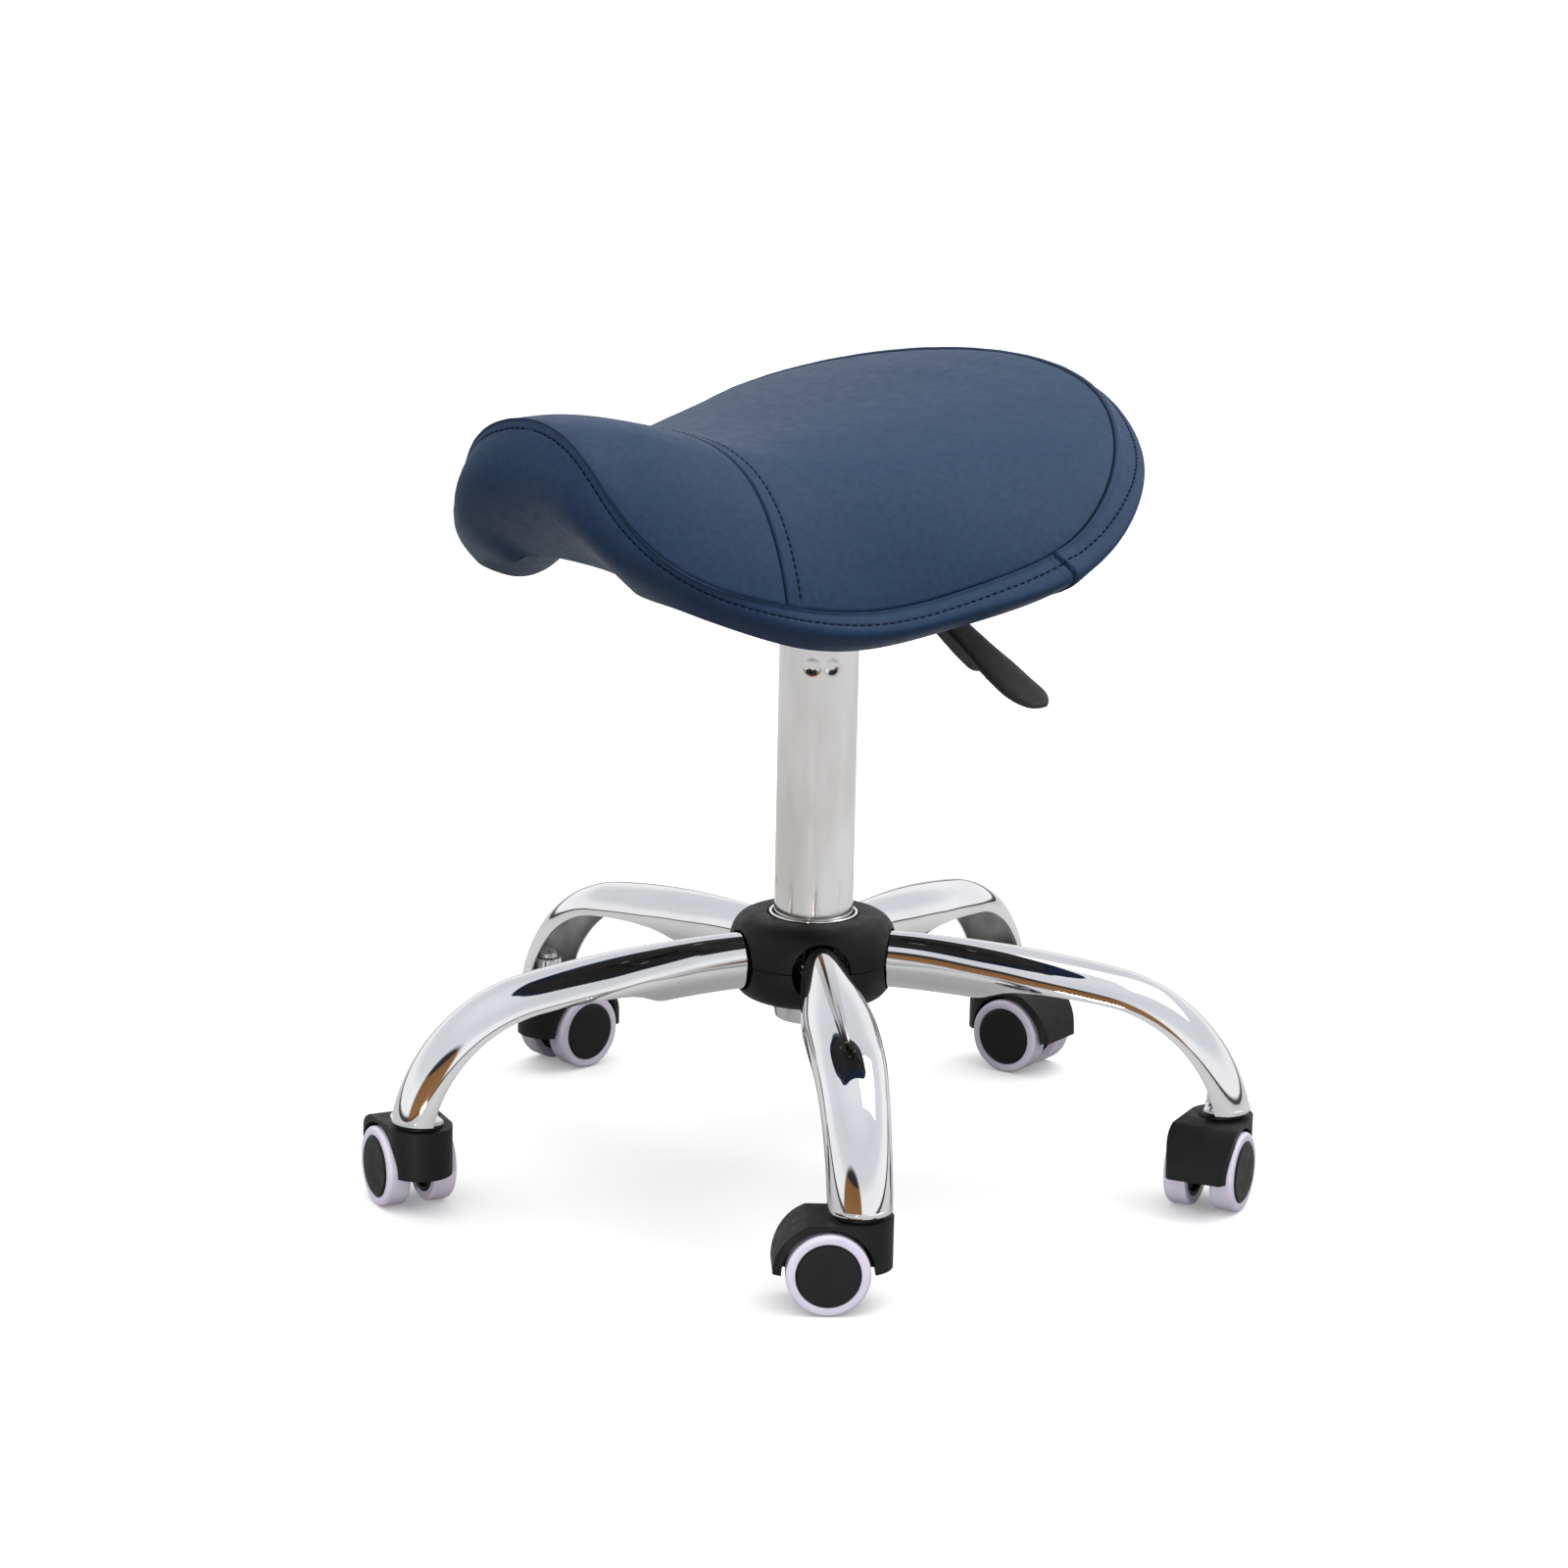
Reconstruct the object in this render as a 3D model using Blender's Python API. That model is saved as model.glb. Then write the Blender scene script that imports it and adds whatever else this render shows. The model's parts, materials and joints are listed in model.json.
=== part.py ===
"""Saddle stool on a five-legged caster base, with a gas-lift column.

Metres, +Z up. The origin is on the floor, in the middle of the whole stool's bounding box, which
its trailing casters set a little off the column's axis. The seat's nose points to -Y and the height
lever to +X. Every size below is measured from the column's axis.
"""

import math

import bmesh
import bpy
import numpy as np
from mathutils import Matrix, Vector

# clearances and sheet thicknesses
GAP = 0.0003
LEG_WALL = 0.0016
COVER_WALL = 0.0024
VINYL = 0.0015

# where the column's axis meets the floor
COLUMN_FOOT = (0.0179, -0.0042, 0.0)

# segments round small, medium and large turned pieces
FEW, SOME, MANY = 12, 16, 24

# five-star base
LEG_COUNT = 5
FIRST_LEG_DEG = -36.2
STEM_CIRCLE = 0.2633
LEG_INNER_END = 0.0287
RIDGE_Z = 0.157
ARC_START = 0.047
SHOULDER_RADIUS = 0.818
SHOULDER_DEG = 10.4
KNEE_RADIUS = 0.108
KNEE_END_DEG = 82.0
# distance from the column, half width, and how far the wall wraps round from the ridge in degrees
LEG_SECTIONS = (
    (0.028, 0.0145, 172),
    (0.070, 0.0155, 172),
    (0.108, 0.0195, 172),
    (0.122, 0.0212, 113),
    (0.150, 0.0235, 98),
    (0.190, 0.0231, 90),
    (0.235, 0.0211, 90),
    (0.290, 0.0190, 90),
)
LEG_HALF_HEIGHT = (0.018, 0.019)
# steps along the shoulder, along the knee and round half of the section
LEG_SEGMENTS = (3, 5, 4)
FOOT_PLATE_RADIUS = 0.0184
SOCKET_RADIUS = 0.0095

# column
TUBE_RADIUS = 0.025
TUBE_BORE = 0.023
TUBE_BOTTOM = 0.098
TUBE_TOP = 0.3435
TUBE_FLOOR = (0.1040, 0.1070)
HUB_RADIUS = 0.0282
HUB_BOTTOM = 0.118
HUB_TOP = 0.1663
COVER_RADIUS = 0.053
COVER_SPLIT = 0.138
COVER_BOTTOM = 0.110
OPENING_CLEARANCE = 0.0007
DIMPLE_Z = 0.3245
DIMPLE_RADIUS = 0.004
DIMPLE_DEG = -43.0
DIMPLE_HALF_ANGLE = 14.5
ROD_RADIUS = 0.005
CYLINDER_RADIUS = 0.014
CYLINDER_BOTTOM = 0.135
CYLINDER_TOP = 0.4035
RELEASE_RADIUS = 0.003
RELEASE_BOTTOM = 0.380
RELEASE_TOP = 0.4085

# casters
WHEEL_RADIUS = 0.025
TYRE_DEPTH = 0.0056
WHEEL_INNER = 0.0078
TYRE_OUTER = 0.0226
DISC_OUTER = 0.0234
TRAIL = 0.0188
AXLE_RADIUS = 0.003
AXLE_HALF = 0.0208
HOOD_TOP = 0.055
HOOD_HALF_WIDTH = 0.0215
HOOD_RADIUS = 0.0325
BAY_RADIUS = 0.0275
HOOD_STEM_RADIUS = 0.0200
HOOD_BOTTOM = 0.0242
WEB_HALF = 0.0034
WEB_DISC_RADIUS = 0.010
WEB_DISC_HALF = 0.0055
STEM_BOSS_RADIUS = 0.0070
STEM_RADIUS = 0.0055
STEM_NECK = 0.004
LEG_FOOT = 0.0583
SOCKET_TOP = 0.0765
# direction from each stem to its axle, in degrees
CASTER_YAW_DEG = (-130.0, -66.0, 11.7, 91.8, 163.6)

# seat: half of the seam between the top panels and the side band, nose to rear
SEAM = (
    (0.000, -0.2420, 0.5015),
    (0.040, -0.2385, 0.4920),
    (0.077, -0.2270, 0.4590),
    (0.099, -0.2030, 0.4240),
    (0.123, -0.1600, 0.4055),
    (0.153, -0.1020, 0.4000),
    (0.184, -0.0400, 0.4130),
    (0.1985, 0.0200, 0.4390),
    (0.186, 0.0720, 0.4640),
    (0.147, 0.1120, 0.4860),
    (0.080, 0.1490, 0.5030),
    (0.000, 0.1620, 0.5090),
)
# the seat's highest line, and the underside's, as y and z
RIDGE = (
    (-0.242, 0.5015), (-0.19, 0.4990), (-0.10, 0.4890), (-0.02, 0.4835), (0.06, 0.4900), (0.162, 0.5090),
)
UNDER = (
    (-0.242, 0.4120), (-0.16, 0.4290), (-0.08, 0.4348), (0.0, 0.4352), (0.055, 0.4378), (0.10, 0.4575),
    (0.162, 0.4880),
)
TOP_POWER = 3.0
UNDER_POWER = 2.2
# side band at the nose, the flaps and the rear: height, bulge and lean
BAND_NOSE = (0.082, 0.020, 0.05)
BAND_FLAP = (0.0245, 0.0165, -0.36)
BAND_REAR = (0.0245, 0.0165, 0.10)
NOSE_POWER = 18
HEM = 0.86
FOAM_INSET = 0.0034
BOARD_THICKNESS = 0.010
FOAM_CLEARANCE = 0.0045
BOARD_INSET = 0.0045
BOARD_EDGE_RISE = 0.0085
BOARD_BEVEL = 0.0085
AROUND = 36

# seat mechanism
PAD = (0.0742, 0.0558, 0.4255, 0.4418)
PLATE_HALF = (0.070, 0.054)
PLATE_Z = (0.4222, 0.4252)
BRACKET_BOTTOM = 0.400
BRACKET_SIDE = (0.0140, 0.0165)
SOCKET_BOTTOM = 0.352
BOLT_RADIUS = 0.003
BOLT_SIDES = 8
BOLT_TOP = 0.4420
PIVOT = (0.030, 0.4118)
PIVOT_RADIUS = 0.0025
BOLT_X = 0.056
BOLT_Y = 0.042
# lever stations: x, half width, top and depth
LEVER = (
    (-0.001, 0.0060, 0.4148, 0.0060),
    (0.018, 0.0060, 0.4148, 0.0060),
    (0.025, 0.0060, 0.4170, 0.0102),
    (0.036, 0.0062, 0.4170, 0.0102),
    (0.050, 0.0068, 0.4100, 0.0100),
    (0.110, 0.0078, 0.3780, 0.0120),
    (0.138, 0.0085, 0.3630, 0.0115),
    (0.153, 0.0105, 0.3550, 0.0050),
    (0.174, 0.0120, 0.3440, 0.0040),
    (0.186, 0.0098, 0.3390, 0.0040),
    (0.192, 0.0050, 0.3368, 0.0036),
)
LEVER_TAPER = 0.86


# --- shared tools -------------------------------------------------------------------------------


def make_material(name, colour, roughness, metallic=0.0):
    material = bpy.data.materials.new(name)
    material.use_nodes = True
    surface = material.node_tree.nodes["Principled BSDF"]
    surface.inputs["Base Color"].default_value = (*colour, 1.0)
    surface.inputs["Roughness"].default_value = roughness
    surface.inputs["Metallic"].default_value = metallic
    return material


def make_mesh(name, points, faces):
    """A mesh whose faces are turned to point outwards."""
    mesh = bpy.data.meshes.new(name)
    mesh.from_pydata([tuple(p) for p in points], [], faces)
    work = bmesh.new()
    work.from_mesh(mesh)
    bmesh.ops.recalc_face_normals(work, faces=work.faces)
    work.to_mesh(mesh)
    work.free()
    mesh.shade_smooth()
    mesh.set_sharp_from_angle(angle=math.radians(35))
    return mesh


def place(name, mesh, material, parent=None, location=(0, 0, 0), turn=0.0):
    """A node: its mesh, its material, and where it sits under its parent."""
    piece = bpy.data.objects.new(name, mesh)
    bpy.context.scene.collection.objects.link(piece)
    if not mesh.materials:
        mesh.materials.append(material)
    piece.parent = parent
    piece.location = location
    piece.rotation_euler = (0, 0, turn)
    return piece


def place_joint(name, location, turn=0.0, parent=None):
    """An empty on a joint's axis, which carries the pieces that move with it."""
    joint = bpy.data.objects.new(name, None)
    bpy.context.scene.collection.objects.link(joint)
    joint.empty_display_size = 0.03
    joint.parent = parent
    joint.location = location
    joint.rotation_euler = (0, 0, turn)
    return joint


def turned(name, outline, steps=32):
    """Turns a closed outline of (radius, height) points round the Z axis."""
    points = []
    rings = []
    for radius, height in outline:
        if radius < 1e-6:
            rings.append([len(points)] * steps)
            points.append((0, 0, height))
            continue
        rings.append(list(range(len(points), len(points) + steps)))
        for k in range(steps):
            angle = 2 * math.pi * (k + 0.5) / steps
            points.append((radius * math.cos(angle), radius * math.sin(angle), height))
    faces = []
    for ring, following in zip(rings, rings[1:] + rings[:1]):
        for k in range(steps):
            n = (k + 1) % steps
            corners = list(dict.fromkeys((ring[k], ring[n], following[n], following[k])))
            if len(corners) > 2:
                faces.append(corners)
    return make_mesh(name, points, faces)


def cylinder(radius, low, high, steps=16):
    return turned("cylinder", ((0, low), (radius, low), (radius, high), (0, high)), steps)


def block(low, high):
    """A box between two corners."""
    points = [(x, y, z) for x in (low[0], high[0]) for y in (low[1], high[1]) for z in (low[2], high[2])]
    faces = ((0, 1, 3, 2), (4, 6, 7, 5), (0, 4, 5, 1), (2, 3, 7, 6), (0, 2, 6, 4), (1, 5, 7, 3))
    return make_mesh("block", points, faces)


def arc(centre, radius, start, end, steps):
    """Points of an arc round a centre, from one angle to another in degrees."""
    angles = np.radians(np.linspace(start, end, steps + 1))
    return [(centre[0] + radius * math.cos(a), centre[1] + radius * math.sin(a)) for a in angles]


def extruded(outline, low, high, upright=False):
    """A prism along Y from an outline of (x, z) points, or along Z from (x, y) points."""
    count = len(outline)
    if upright:
        points = [(x, y, z) for z in (low, high) for x, y in outline]
    else:
        points = [(x, y, z) for y in (low, high) for x, z in outline]
    faces = [tuple(range(count)), tuple(range(2 * count - 1, count - 1, -1))]
    for k in range(count):
        n = (k + 1) % count
        faces.append((k, n, n + count, k + count))
    return make_mesh("prism", points, faces)


def moved(mesh, matrix):
    mesh.transform(matrix)
    return mesh


def across(mesh, x=0.0, z=0.0):
    """Lays a turned mesh along the Y axis, at x and z."""
    return moved(mesh, Matrix.Translation((x, 0, z)) @ Matrix.Rotation(math.radians(90), 4, "X"))


def combined(name, base, *steps):
    """Applies exact Booleans to a mesh: each step is an operation and the other mesh."""
    scene = bpy.context.scene.collection.objects
    body = bpy.data.objects.new(name, base)
    scene.link(body)
    others = []
    for operation, mesh in steps:
        other = bpy.data.objects.new("other", mesh)
        other.hide_render = True
        other.display_type = "WIRE"
        scene.link(other)
        others.append(other)
        modifier = body.modifiers.new(operation, "BOOLEAN")
        modifier.operation = operation
        modifier.solver = "EXACT"
        modifier.object = other
    graph = bpy.context.evaluated_depsgraph_get()
    result = bpy.data.meshes.new_from_object(body.evaluated_get(graph))
    result.name = name
    for obj in [body, *others]:
        bpy.data.objects.remove(obj)
    result.shade_smooth()
    result.set_sharp_from_angle(angle=math.radians(35))
    return result


def polar(radius, degrees, height=0.0):
    angle = math.radians(degrees)
    return Vector((radius * math.cos(angle), radius * math.sin(angle), height))


def spline(knots, values, at, closed=False):
    """A smooth cubic through values (one row for each knot), read at the given places."""
    knots = np.asarray(knots, float)
    values = np.asarray(values, float)
    spans = np.diff(knots)
    count = len(spans) if closed else len(knots)
    system = np.zeros((count, count))
    right = np.zeros((count, values.shape[1]))
    slopes = np.diff(values, axis=0) / spans[:, None]
    for k in range(count):
        if not closed and k in (0, count - 1):
            system[k, k] = 1.0
            continue
        before = spans[k - 1]
        after = spans[k]
        system[k, k - 1] += before
        system[k, k] += 2 * (before + after)
        system[k, (k + 1) % count] += after
        right[k] = 6 * (slopes[k] - slopes[k - 1])
    bend = np.linalg.solve(system, right)
    if closed:
        bend = np.vstack([bend, bend[:1]])
    span = np.clip(np.searchsorted(knots, at, side="right") - 1, 0, len(spans) - 1)
    width = spans[span][:, None]
    to_next = (knots[span + 1] - at)[:, None]
    from_last = (at - knots[span])[:, None]
    return (
        (bend[span] * to_next**3 + bend[span + 1] * from_last**3) / (6 * width)
        + (values[span] / width - bend[span] * width / 6) * to_next
        + (values[span + 1] / width - bend[span + 1] * width / 6) * from_last
    )


# --- five-star base -----------------------------------------------------------------------------


def ridge_path():
    """The leg's ridge as distance, height and downward slope angle, from the hub to the foot."""
    shoulder_steps, knee_steps, _ = LEG_SEGMENTS
    path = [(LEG_INNER_END, RIDGE_Z, 0.0)]
    for k in range(shoulder_steps):
        slope = math.radians(SHOULDER_DEG) * k / shoulder_steps
        reach = ARC_START + SHOULDER_RADIUS * math.sin(slope)
        path.append((reach, RIDGE_Z - SHOULDER_RADIUS * (1 - math.cos(slope)), slope))
    start = math.radians(SHOULDER_DEG)
    centre_x = ARC_START + (SHOULDER_RADIUS - KNEE_RADIUS) * math.sin(start)
    centre_z = RIDGE_Z - SHOULDER_RADIUS + (SHOULDER_RADIUS - KNEE_RADIUS) * math.cos(start)
    for k in range(knee_steps + 1):
        slope = start + (math.radians(KNEE_END_DEG) - start) * k / knee_steps
        reach = centre_x + KNEE_RADIUS * math.sin(slope)
        path.append((reach, centre_z + KNEE_RADIUS * math.cos(slope), slope))
    return path


def leg_channel():
    """Pressed sheet that is a closed oval at the hub and opens to a channel at the foot."""
    points = []
    faces = []
    half = LEG_SEGMENTS[2]
    reaches = [row[0] for row in LEG_SECTIONS]
    path = ridge_path()
    for x, z, slope in path:
        width, wrap = (np.interp(x, reaches, [row[k] for row in LEG_SECTIONS]) for k in (1, 2))
        height = np.interp(x, (reaches[0], reaches[-1]), LEG_HALF_HEIGHT)
        loop = []
        for inward in (0.0, LEG_WALL):
            side = []
            for k in range(-half, half + 1):
                angle = math.radians(wrap) * k / half
                down = inward + (height - inward) * (1 - math.cos(angle))
                lateral = (width - inward) * math.sin(angle)
                side.append((x - down * math.sin(slope), lateral, z - down * math.cos(slope)))
            loop += side if inward == 0.0 else side[::-1]
        points += loop
    ring = 4 * half + 2
    for row in range(len(path) - 1):
        for k in range(ring):
            n = (k + 1) % ring
            a = row * ring
            faces.append((a + k, a + n, a + ring + n, a + ring + k))
    for a in (0, (len(path) - 1) * ring):
        for k in range(2 * half):
            faces.append((a + k, a + k + 1, a + ring - 2 - k, a + ring - 1 - k))
    return make_mesh("channel", points, faces)


def leg():
    """Leg with its foot plate and the welded socket that holds the caster's stem."""
    at_stem = Matrix.Translation((STEM_CIRCLE, 0, 0))
    foot_plate = moved(cylinder(FOOT_PLATE_RADIUS, LEG_FOOT, LEG_FOOT + 0.0025, SOME), at_stem)
    socket = moved(cylinder(SOCKET_RADIUS, LEG_FOOT, SOCKET_TOP, FEW), at_stem)
    open_side = block((0.20, -0.03, 0.05), (STEM_CIRCLE - SOCKET_RADIUS, 0.03, LEG_FOOT + 0.004))
    below = block((0.20, -0.03, 0.03), (0.32, 0.03, LEG_FOOT))
    bore = moved(cylinder(STEM_RADIUS + GAP, 0.05, SOCKET_TOP + 0.001, FEW), at_stem)
    plate = combined("plate", foot_plate, ("DIFFERENCE", open_side))
    steps = (("DIFFERENCE", below), ("UNION", plate), ("UNION", socket), ("DIFFERENCE", bore))
    return combined("leg", leg_channel(), *steps)


def leg_opening():
    """The oval hole that a leg needs in the hub covers."""
    half_width = LEG_SECTIONS[1][1] + OPENING_CLEARANCE
    half_height = LEG_HALF_HEIGHT[0] + OPENING_CLEARANCE
    round_points = arc((0, 0), 1.0, 0, 360, SOME)[:-1]
    outline = [(half_width * x, RIDGE_Z - LEG_HALF_HEIGHT[0] + half_height * z) for x, z in round_points]
    prism = extruded(outline, COVER_RADIUS * 0.45, COVER_RADIUS * 1.2)
    return moved(prism, Matrix.Rotation(math.radians(-90), 4, "Z"))


def hub_cover(name, outline):
    """Half of the moulded hub cover, with five leg openings on its split edge."""
    openings = []
    for k in range(LEG_COUNT):
        turn = Matrix.Rotation(math.radians(FIRST_LEG_DEG + 360 / LEG_COUNT * k), 4, "Z")
        openings.append(("DIFFERENCE", moved(leg_opening(), turn)))
    return combined(name, turned(name, outline, MANY), *openings)


def build_base(chrome, black, stool):
    upper = (
        (HUB_RADIUS + 0.001, HUB_TOP - GAP),
        (0.040, 0.1656),
        (0.0475, 0.1625),
        (0.0518, 0.1555),
        (COVER_RADIUS, 0.1470),
        (COVER_RADIUS, COVER_SPLIT + GAP),
        (COVER_RADIUS - COVER_WALL, COVER_SPLIT + GAP),
        (COVER_RADIUS - COVER_WALL, 0.1470),
        (0.0455, 0.1605),
        (HUB_RADIUS + 0.001, HUB_TOP - 0.0028),
    )
    lower = (
        (COVER_RADIUS, COVER_SPLIT),
        (0.0526, 0.1300),
        (0.0500, 0.1205),
        (0.0445, 0.1135),
        (TUBE_RADIUS + 0.0012, COVER_BOTTOM),
        (TUBE_RADIUS + 0.0012, COVER_BOTTOM + 0.0025),
        (0.0430, 0.1156),
        (0.0480, 0.1218),
        (COVER_RADIUS - COVER_WALL, COVER_SPLIT),
    )
    place("hub_cover_upper", hub_cover("hub_cover_upper", upper), black, stool)
    place("hub_cover_lower", hub_cover("hub_cover_lower", lower), black, stool)
    bore = TUBE_RADIUS + 0.0004
    core = ((bore, HUB_BOTTOM), (HUB_RADIUS, HUB_BOTTOM), (HUB_RADIUS, HUB_TOP), (bore, HUB_TOP))
    place("hub_core", turned("hub_core", core, MANY), chrome, stool)
    one_leg = leg()
    for k in range(LEG_COUNT):
        turn = math.radians(FIRST_LEG_DEG + 360 / LEG_COUNT * k)
        place(f"leg_{k + 1}", one_leg, chrome, stool, turn=turn)


# --- column -------------------------------------------------------------------------------------


def outer_tube():
    """Chrome stand tube: tapered foot, a floor that carries the bearing, two pressed dimples."""
    low, high = TUBE_FLOOR
    outline = (
        (TUBE_RADIUS, TUBE_TOP),
        (TUBE_RADIUS, TUBE_BOTTOM + 0.014),
        (TUBE_RADIUS - 0.0018, TUBE_BOTTOM),
        (0.0212, TUBE_BOTTOM),
        (0.0212, low),
        (0.0056, low),
        (0.0056, high),
        (TUBE_BORE, high),
        (TUBE_BORE, TUBE_TOP),
    )
    dimples = []
    for side in (-1, 1):
        dimple = across(cylinder(DIMPLE_RADIUS, -0.003, 0.003, FEW), z=DIMPLE_Z)
        facing = math.radians(DIMPLE_DEG + side * DIMPLE_HALF_ANGLE + 90)
        outward = Matrix.Rotation(facing, 4, "Z") @ Matrix.Translation((0, -TUBE_RADIUS - 0.002, 0))
        dimples.append(("DIFFERENCE", moved(dimple, outward)))
    return combined("outer_tube", turned("outer_tube", outline, MANY), *dimples)


def build_column(chrome, steel, nylon, stool, swivel):
    place("outer_tube", outer_tube(), chrome, stool)
    bush = (
        (0.0144, 0.272),
        (TUBE_BORE - 0.0004, 0.272),
        (TUBE_BORE - 0.0004, TUBE_TOP + GAP),
        (TUBE_RADIUS - 0.0004, TUBE_TOP + GAP),
        (TUBE_RADIUS - 0.0004, TUBE_TOP + 0.003),
        (0.0144, TUBE_TOP + 0.003),
    )
    place("guide_bush", turned("guide_bush", bush, SOME), nylon, stool)
    seat_z = TUBE_FLOOR[1] + GAP
    bearing = ((0.0059, seat_z), (0.012, seat_z), (0.012, seat_z + 0.007), (0.0059, seat_z + 0.007))
    place("thrust_bearing", turned("thrust_bearing", bearing, SOME), steel, stool)
    collar = seat_z + 0.0073
    neck = ROD_RADIUS - 0.0007
    rod = (
        (0, 0.0985),
        (ROD_RADIUS, 0.0985),
        (ROD_RADIUS, 0.1000),
        (neck, 0.1000),
        (neck, 0.1022),
        (ROD_RADIUS, 0.1022),
        (ROD_RADIUS, collar),
        (0.009, collar),
        (0.009, collar + 0.003),
        (ROD_RADIUS, collar + 0.003),
        (ROD_RADIUS, 0.325),
        (0.0118, 0.325),
        (0.0118, 0.340),
        (0, 0.340),
    )
    place("piston_rod", turned("piston_rod", rod, FEW), steel, swivel)
    clip = ((neck + GAP, 0.1003), (0.0095, 0.1003), (0.0095, 0.1019), (neck + GAP, 0.1019))
    place("retaining_clip", turned("retaining_clip", clip, FEW), steel, swivel)


def gas_cylinder():
    """Pressure tube: its wall is open round the rod below and round the release pin above."""
    outline = (
        (CYLINDER_RADIUS, CYLINDER_BOTTOM),
        (CYLINDER_RADIUS, 0.372),
        (0.0134, CYLINDER_TOP),
        (0.0036, CYLINDER_TOP),
        (0.0036, CYLINDER_TOP - 0.005),
        (0.0124, CYLINDER_TOP - 0.005),
        (0.0124, CYLINDER_BOTTOM + 0.006),
        (0.0056, CYLINDER_BOTTOM + 0.006),
        (0.0056, CYLINDER_BOTTOM),
    )
    return turned("gas_cylinder", outline, SOME)


# --- casters ------------------------------------------------------------------------------------


def caster_hood():
    """Twin-wheel hood in its own frame: the stem at the origin and the axle at +X."""
    axle = (TRAIL, WHEEL_RADIUS)
    crown_deg = math.degrees(math.asin((HOOD_TOP - WHEEL_RADIUS) / HOOD_RADIUS))
    side_view = arc(axle, HOOD_RADIUS, 0, crown_deg, 5)
    side_view += [(-HOOD_STEM_RADIUS, HOOD_TOP), (-HOOD_STEM_RADIUS, HOOD_BOTTOM)]
    side_view += [(TRAIL + HOOD_RADIUS, HOOD_BOTTOM)]
    rear = TRAIL + HOOD_RADIUS + 0.001
    wide = HOOD_HALF_WIDTH
    plan = [(rear, 0.86 * wide), (rear - 0.006, wide)]
    plan += arc((0, 0), HOOD_STEM_RADIUS, 90, 270, 7)
    plan += [(rear - 0.006, -wide), (rear, -0.86 * wide)]
    steps = [("INTERSECT", extruded(plan, 0.0, 0.06, upright=True))]
    bay = [(TRAIL + BAY_RADIUS, -0.01), *arc(axle, BAY_RADIUS, 0, 180, 10), (TRAIL - BAY_RADIUS, -0.01)]
    steps.append(("DIFFERENCE", extruded(bay, WEB_HALF, 0.03)))
    steps.append(("DIFFERENCE", extruded(bay, -0.03, -WEB_HALF)))
    steps.append(("UNION", across(cylinder(WEB_DISC_RADIUS, -WEB_DISC_HALF, WEB_DISC_HALF, SOME), *axle)))
    steps.append(("UNION", cylinder(STEM_BOSS_RADIUS, 0.030, HOOD_TOP - 0.002, FEW)))
    steps.append(("DIFFERENCE", cylinder(STEM_NECK + GAP, 0.01, 0.07, FEW)))
    steps.append(("DIFFERENCE", across(cylinder(AXLE_RADIUS + GAP, -0.02, 0.02, FEW), *axle)))
    return combined("caster_hood", extruded(side_view, -0.03, 0.03), *steps)


def caster_stem():
    """Stem with its swivel neck, collar, socket shank and top knob."""
    outline = (
        (0, 0.0315),
        (STEM_NECK, 0.0315),
        (STEM_NECK, HOOD_TOP + GAP),
        (0.0088, HOOD_TOP + GAP),
        (0.0088, LEG_FOOT - GAP),
        (STEM_RADIUS, LEG_FOOT - GAP),
        (STEM_RADIUS, SOCKET_TOP + GAP),
        (0.0070, SOCKET_TOP + GAP),
        (0.0045, SOCKET_TOP + 0.0055),
        (0, SOCKET_TOP + 0.0055),
    )
    return turned("caster_stem", outline, FEW)


def tyre():
    """Tread ring about Z, from the inner to the outer face, whose flats lie on the floor."""
    outer = WHEEL_RADIUS / math.cos(math.pi / SOME)
    inner = outer - TYRE_DEPTH
    outline = (
        (inner, WHEEL_INNER),
        (outer, WHEEL_INNER),
        (outer, TYRE_OUTER - 0.004),
        (outer - 0.0030, TYRE_OUTER),
        (inner, TYRE_OUTER),
    )
    return turned("tyre", outline, SOME)


def wheel_disc():
    """Moulded wheel centre about Z, with a blind bore for the axle."""
    rim = WHEEL_RADIUS - TYRE_DEPTH - 0.0004
    bore = AXLE_RADIUS + GAP
    outline = (
        (0, DISC_OUTER),
        (rim - 0.0016, DISC_OUTER),
        (rim, DISC_OUTER - 0.0012),
        (rim, WHEEL_INNER),
        (bore, WHEEL_INNER),
        (bore, AXLE_HALF + 0.0004),
        (0, AXLE_HALF + 0.0004),
    )
    return turned("wheel_disc", outline, SOME)


def build_casters(black, lilac, steel, stool):
    hood = caster_hood()
    stem = caster_stem()
    tread = tyre()
    disc = wheel_disc()
    axle = across(cylinder(AXLE_RADIUS, -AXLE_HALF, AXLE_HALF, FEW))
    for k in range(LEG_COUNT):
        number = k + 1
        foot = polar(STEM_CIRCLE, FIRST_LEG_DEG + 360 / LEG_COUNT * k)
        place(f"caster_stem_{number}", stem, steel, stool, foot)
        swivel = place_joint(f"swivel_{number}", foot, math.radians(CASTER_YAW_DEG[k]), stool)
        place(f"caster_hood_{number}", hood, black, swivel)
        place(f"caster_axle_{number}", axle, steel, swivel, (TRAIL, 0, WHEEL_RADIUS))
        for side, tilt in (("left", -90), ("right", 90)):
            spin = place_joint(f"spin_{number}_{side}", (TRAIL, 0, WHEEL_RADIUS), parent=swivel)
            spin.rotation_euler = (math.radians(tilt), 0, 0)
            place(f"wheel_disc_{number}_{side}", disc, black, spin)
            place(f"tyre_{number}_{side}", tread, lilac, spin)


# --- seat ---------------------------------------------------------------------------------------


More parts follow.
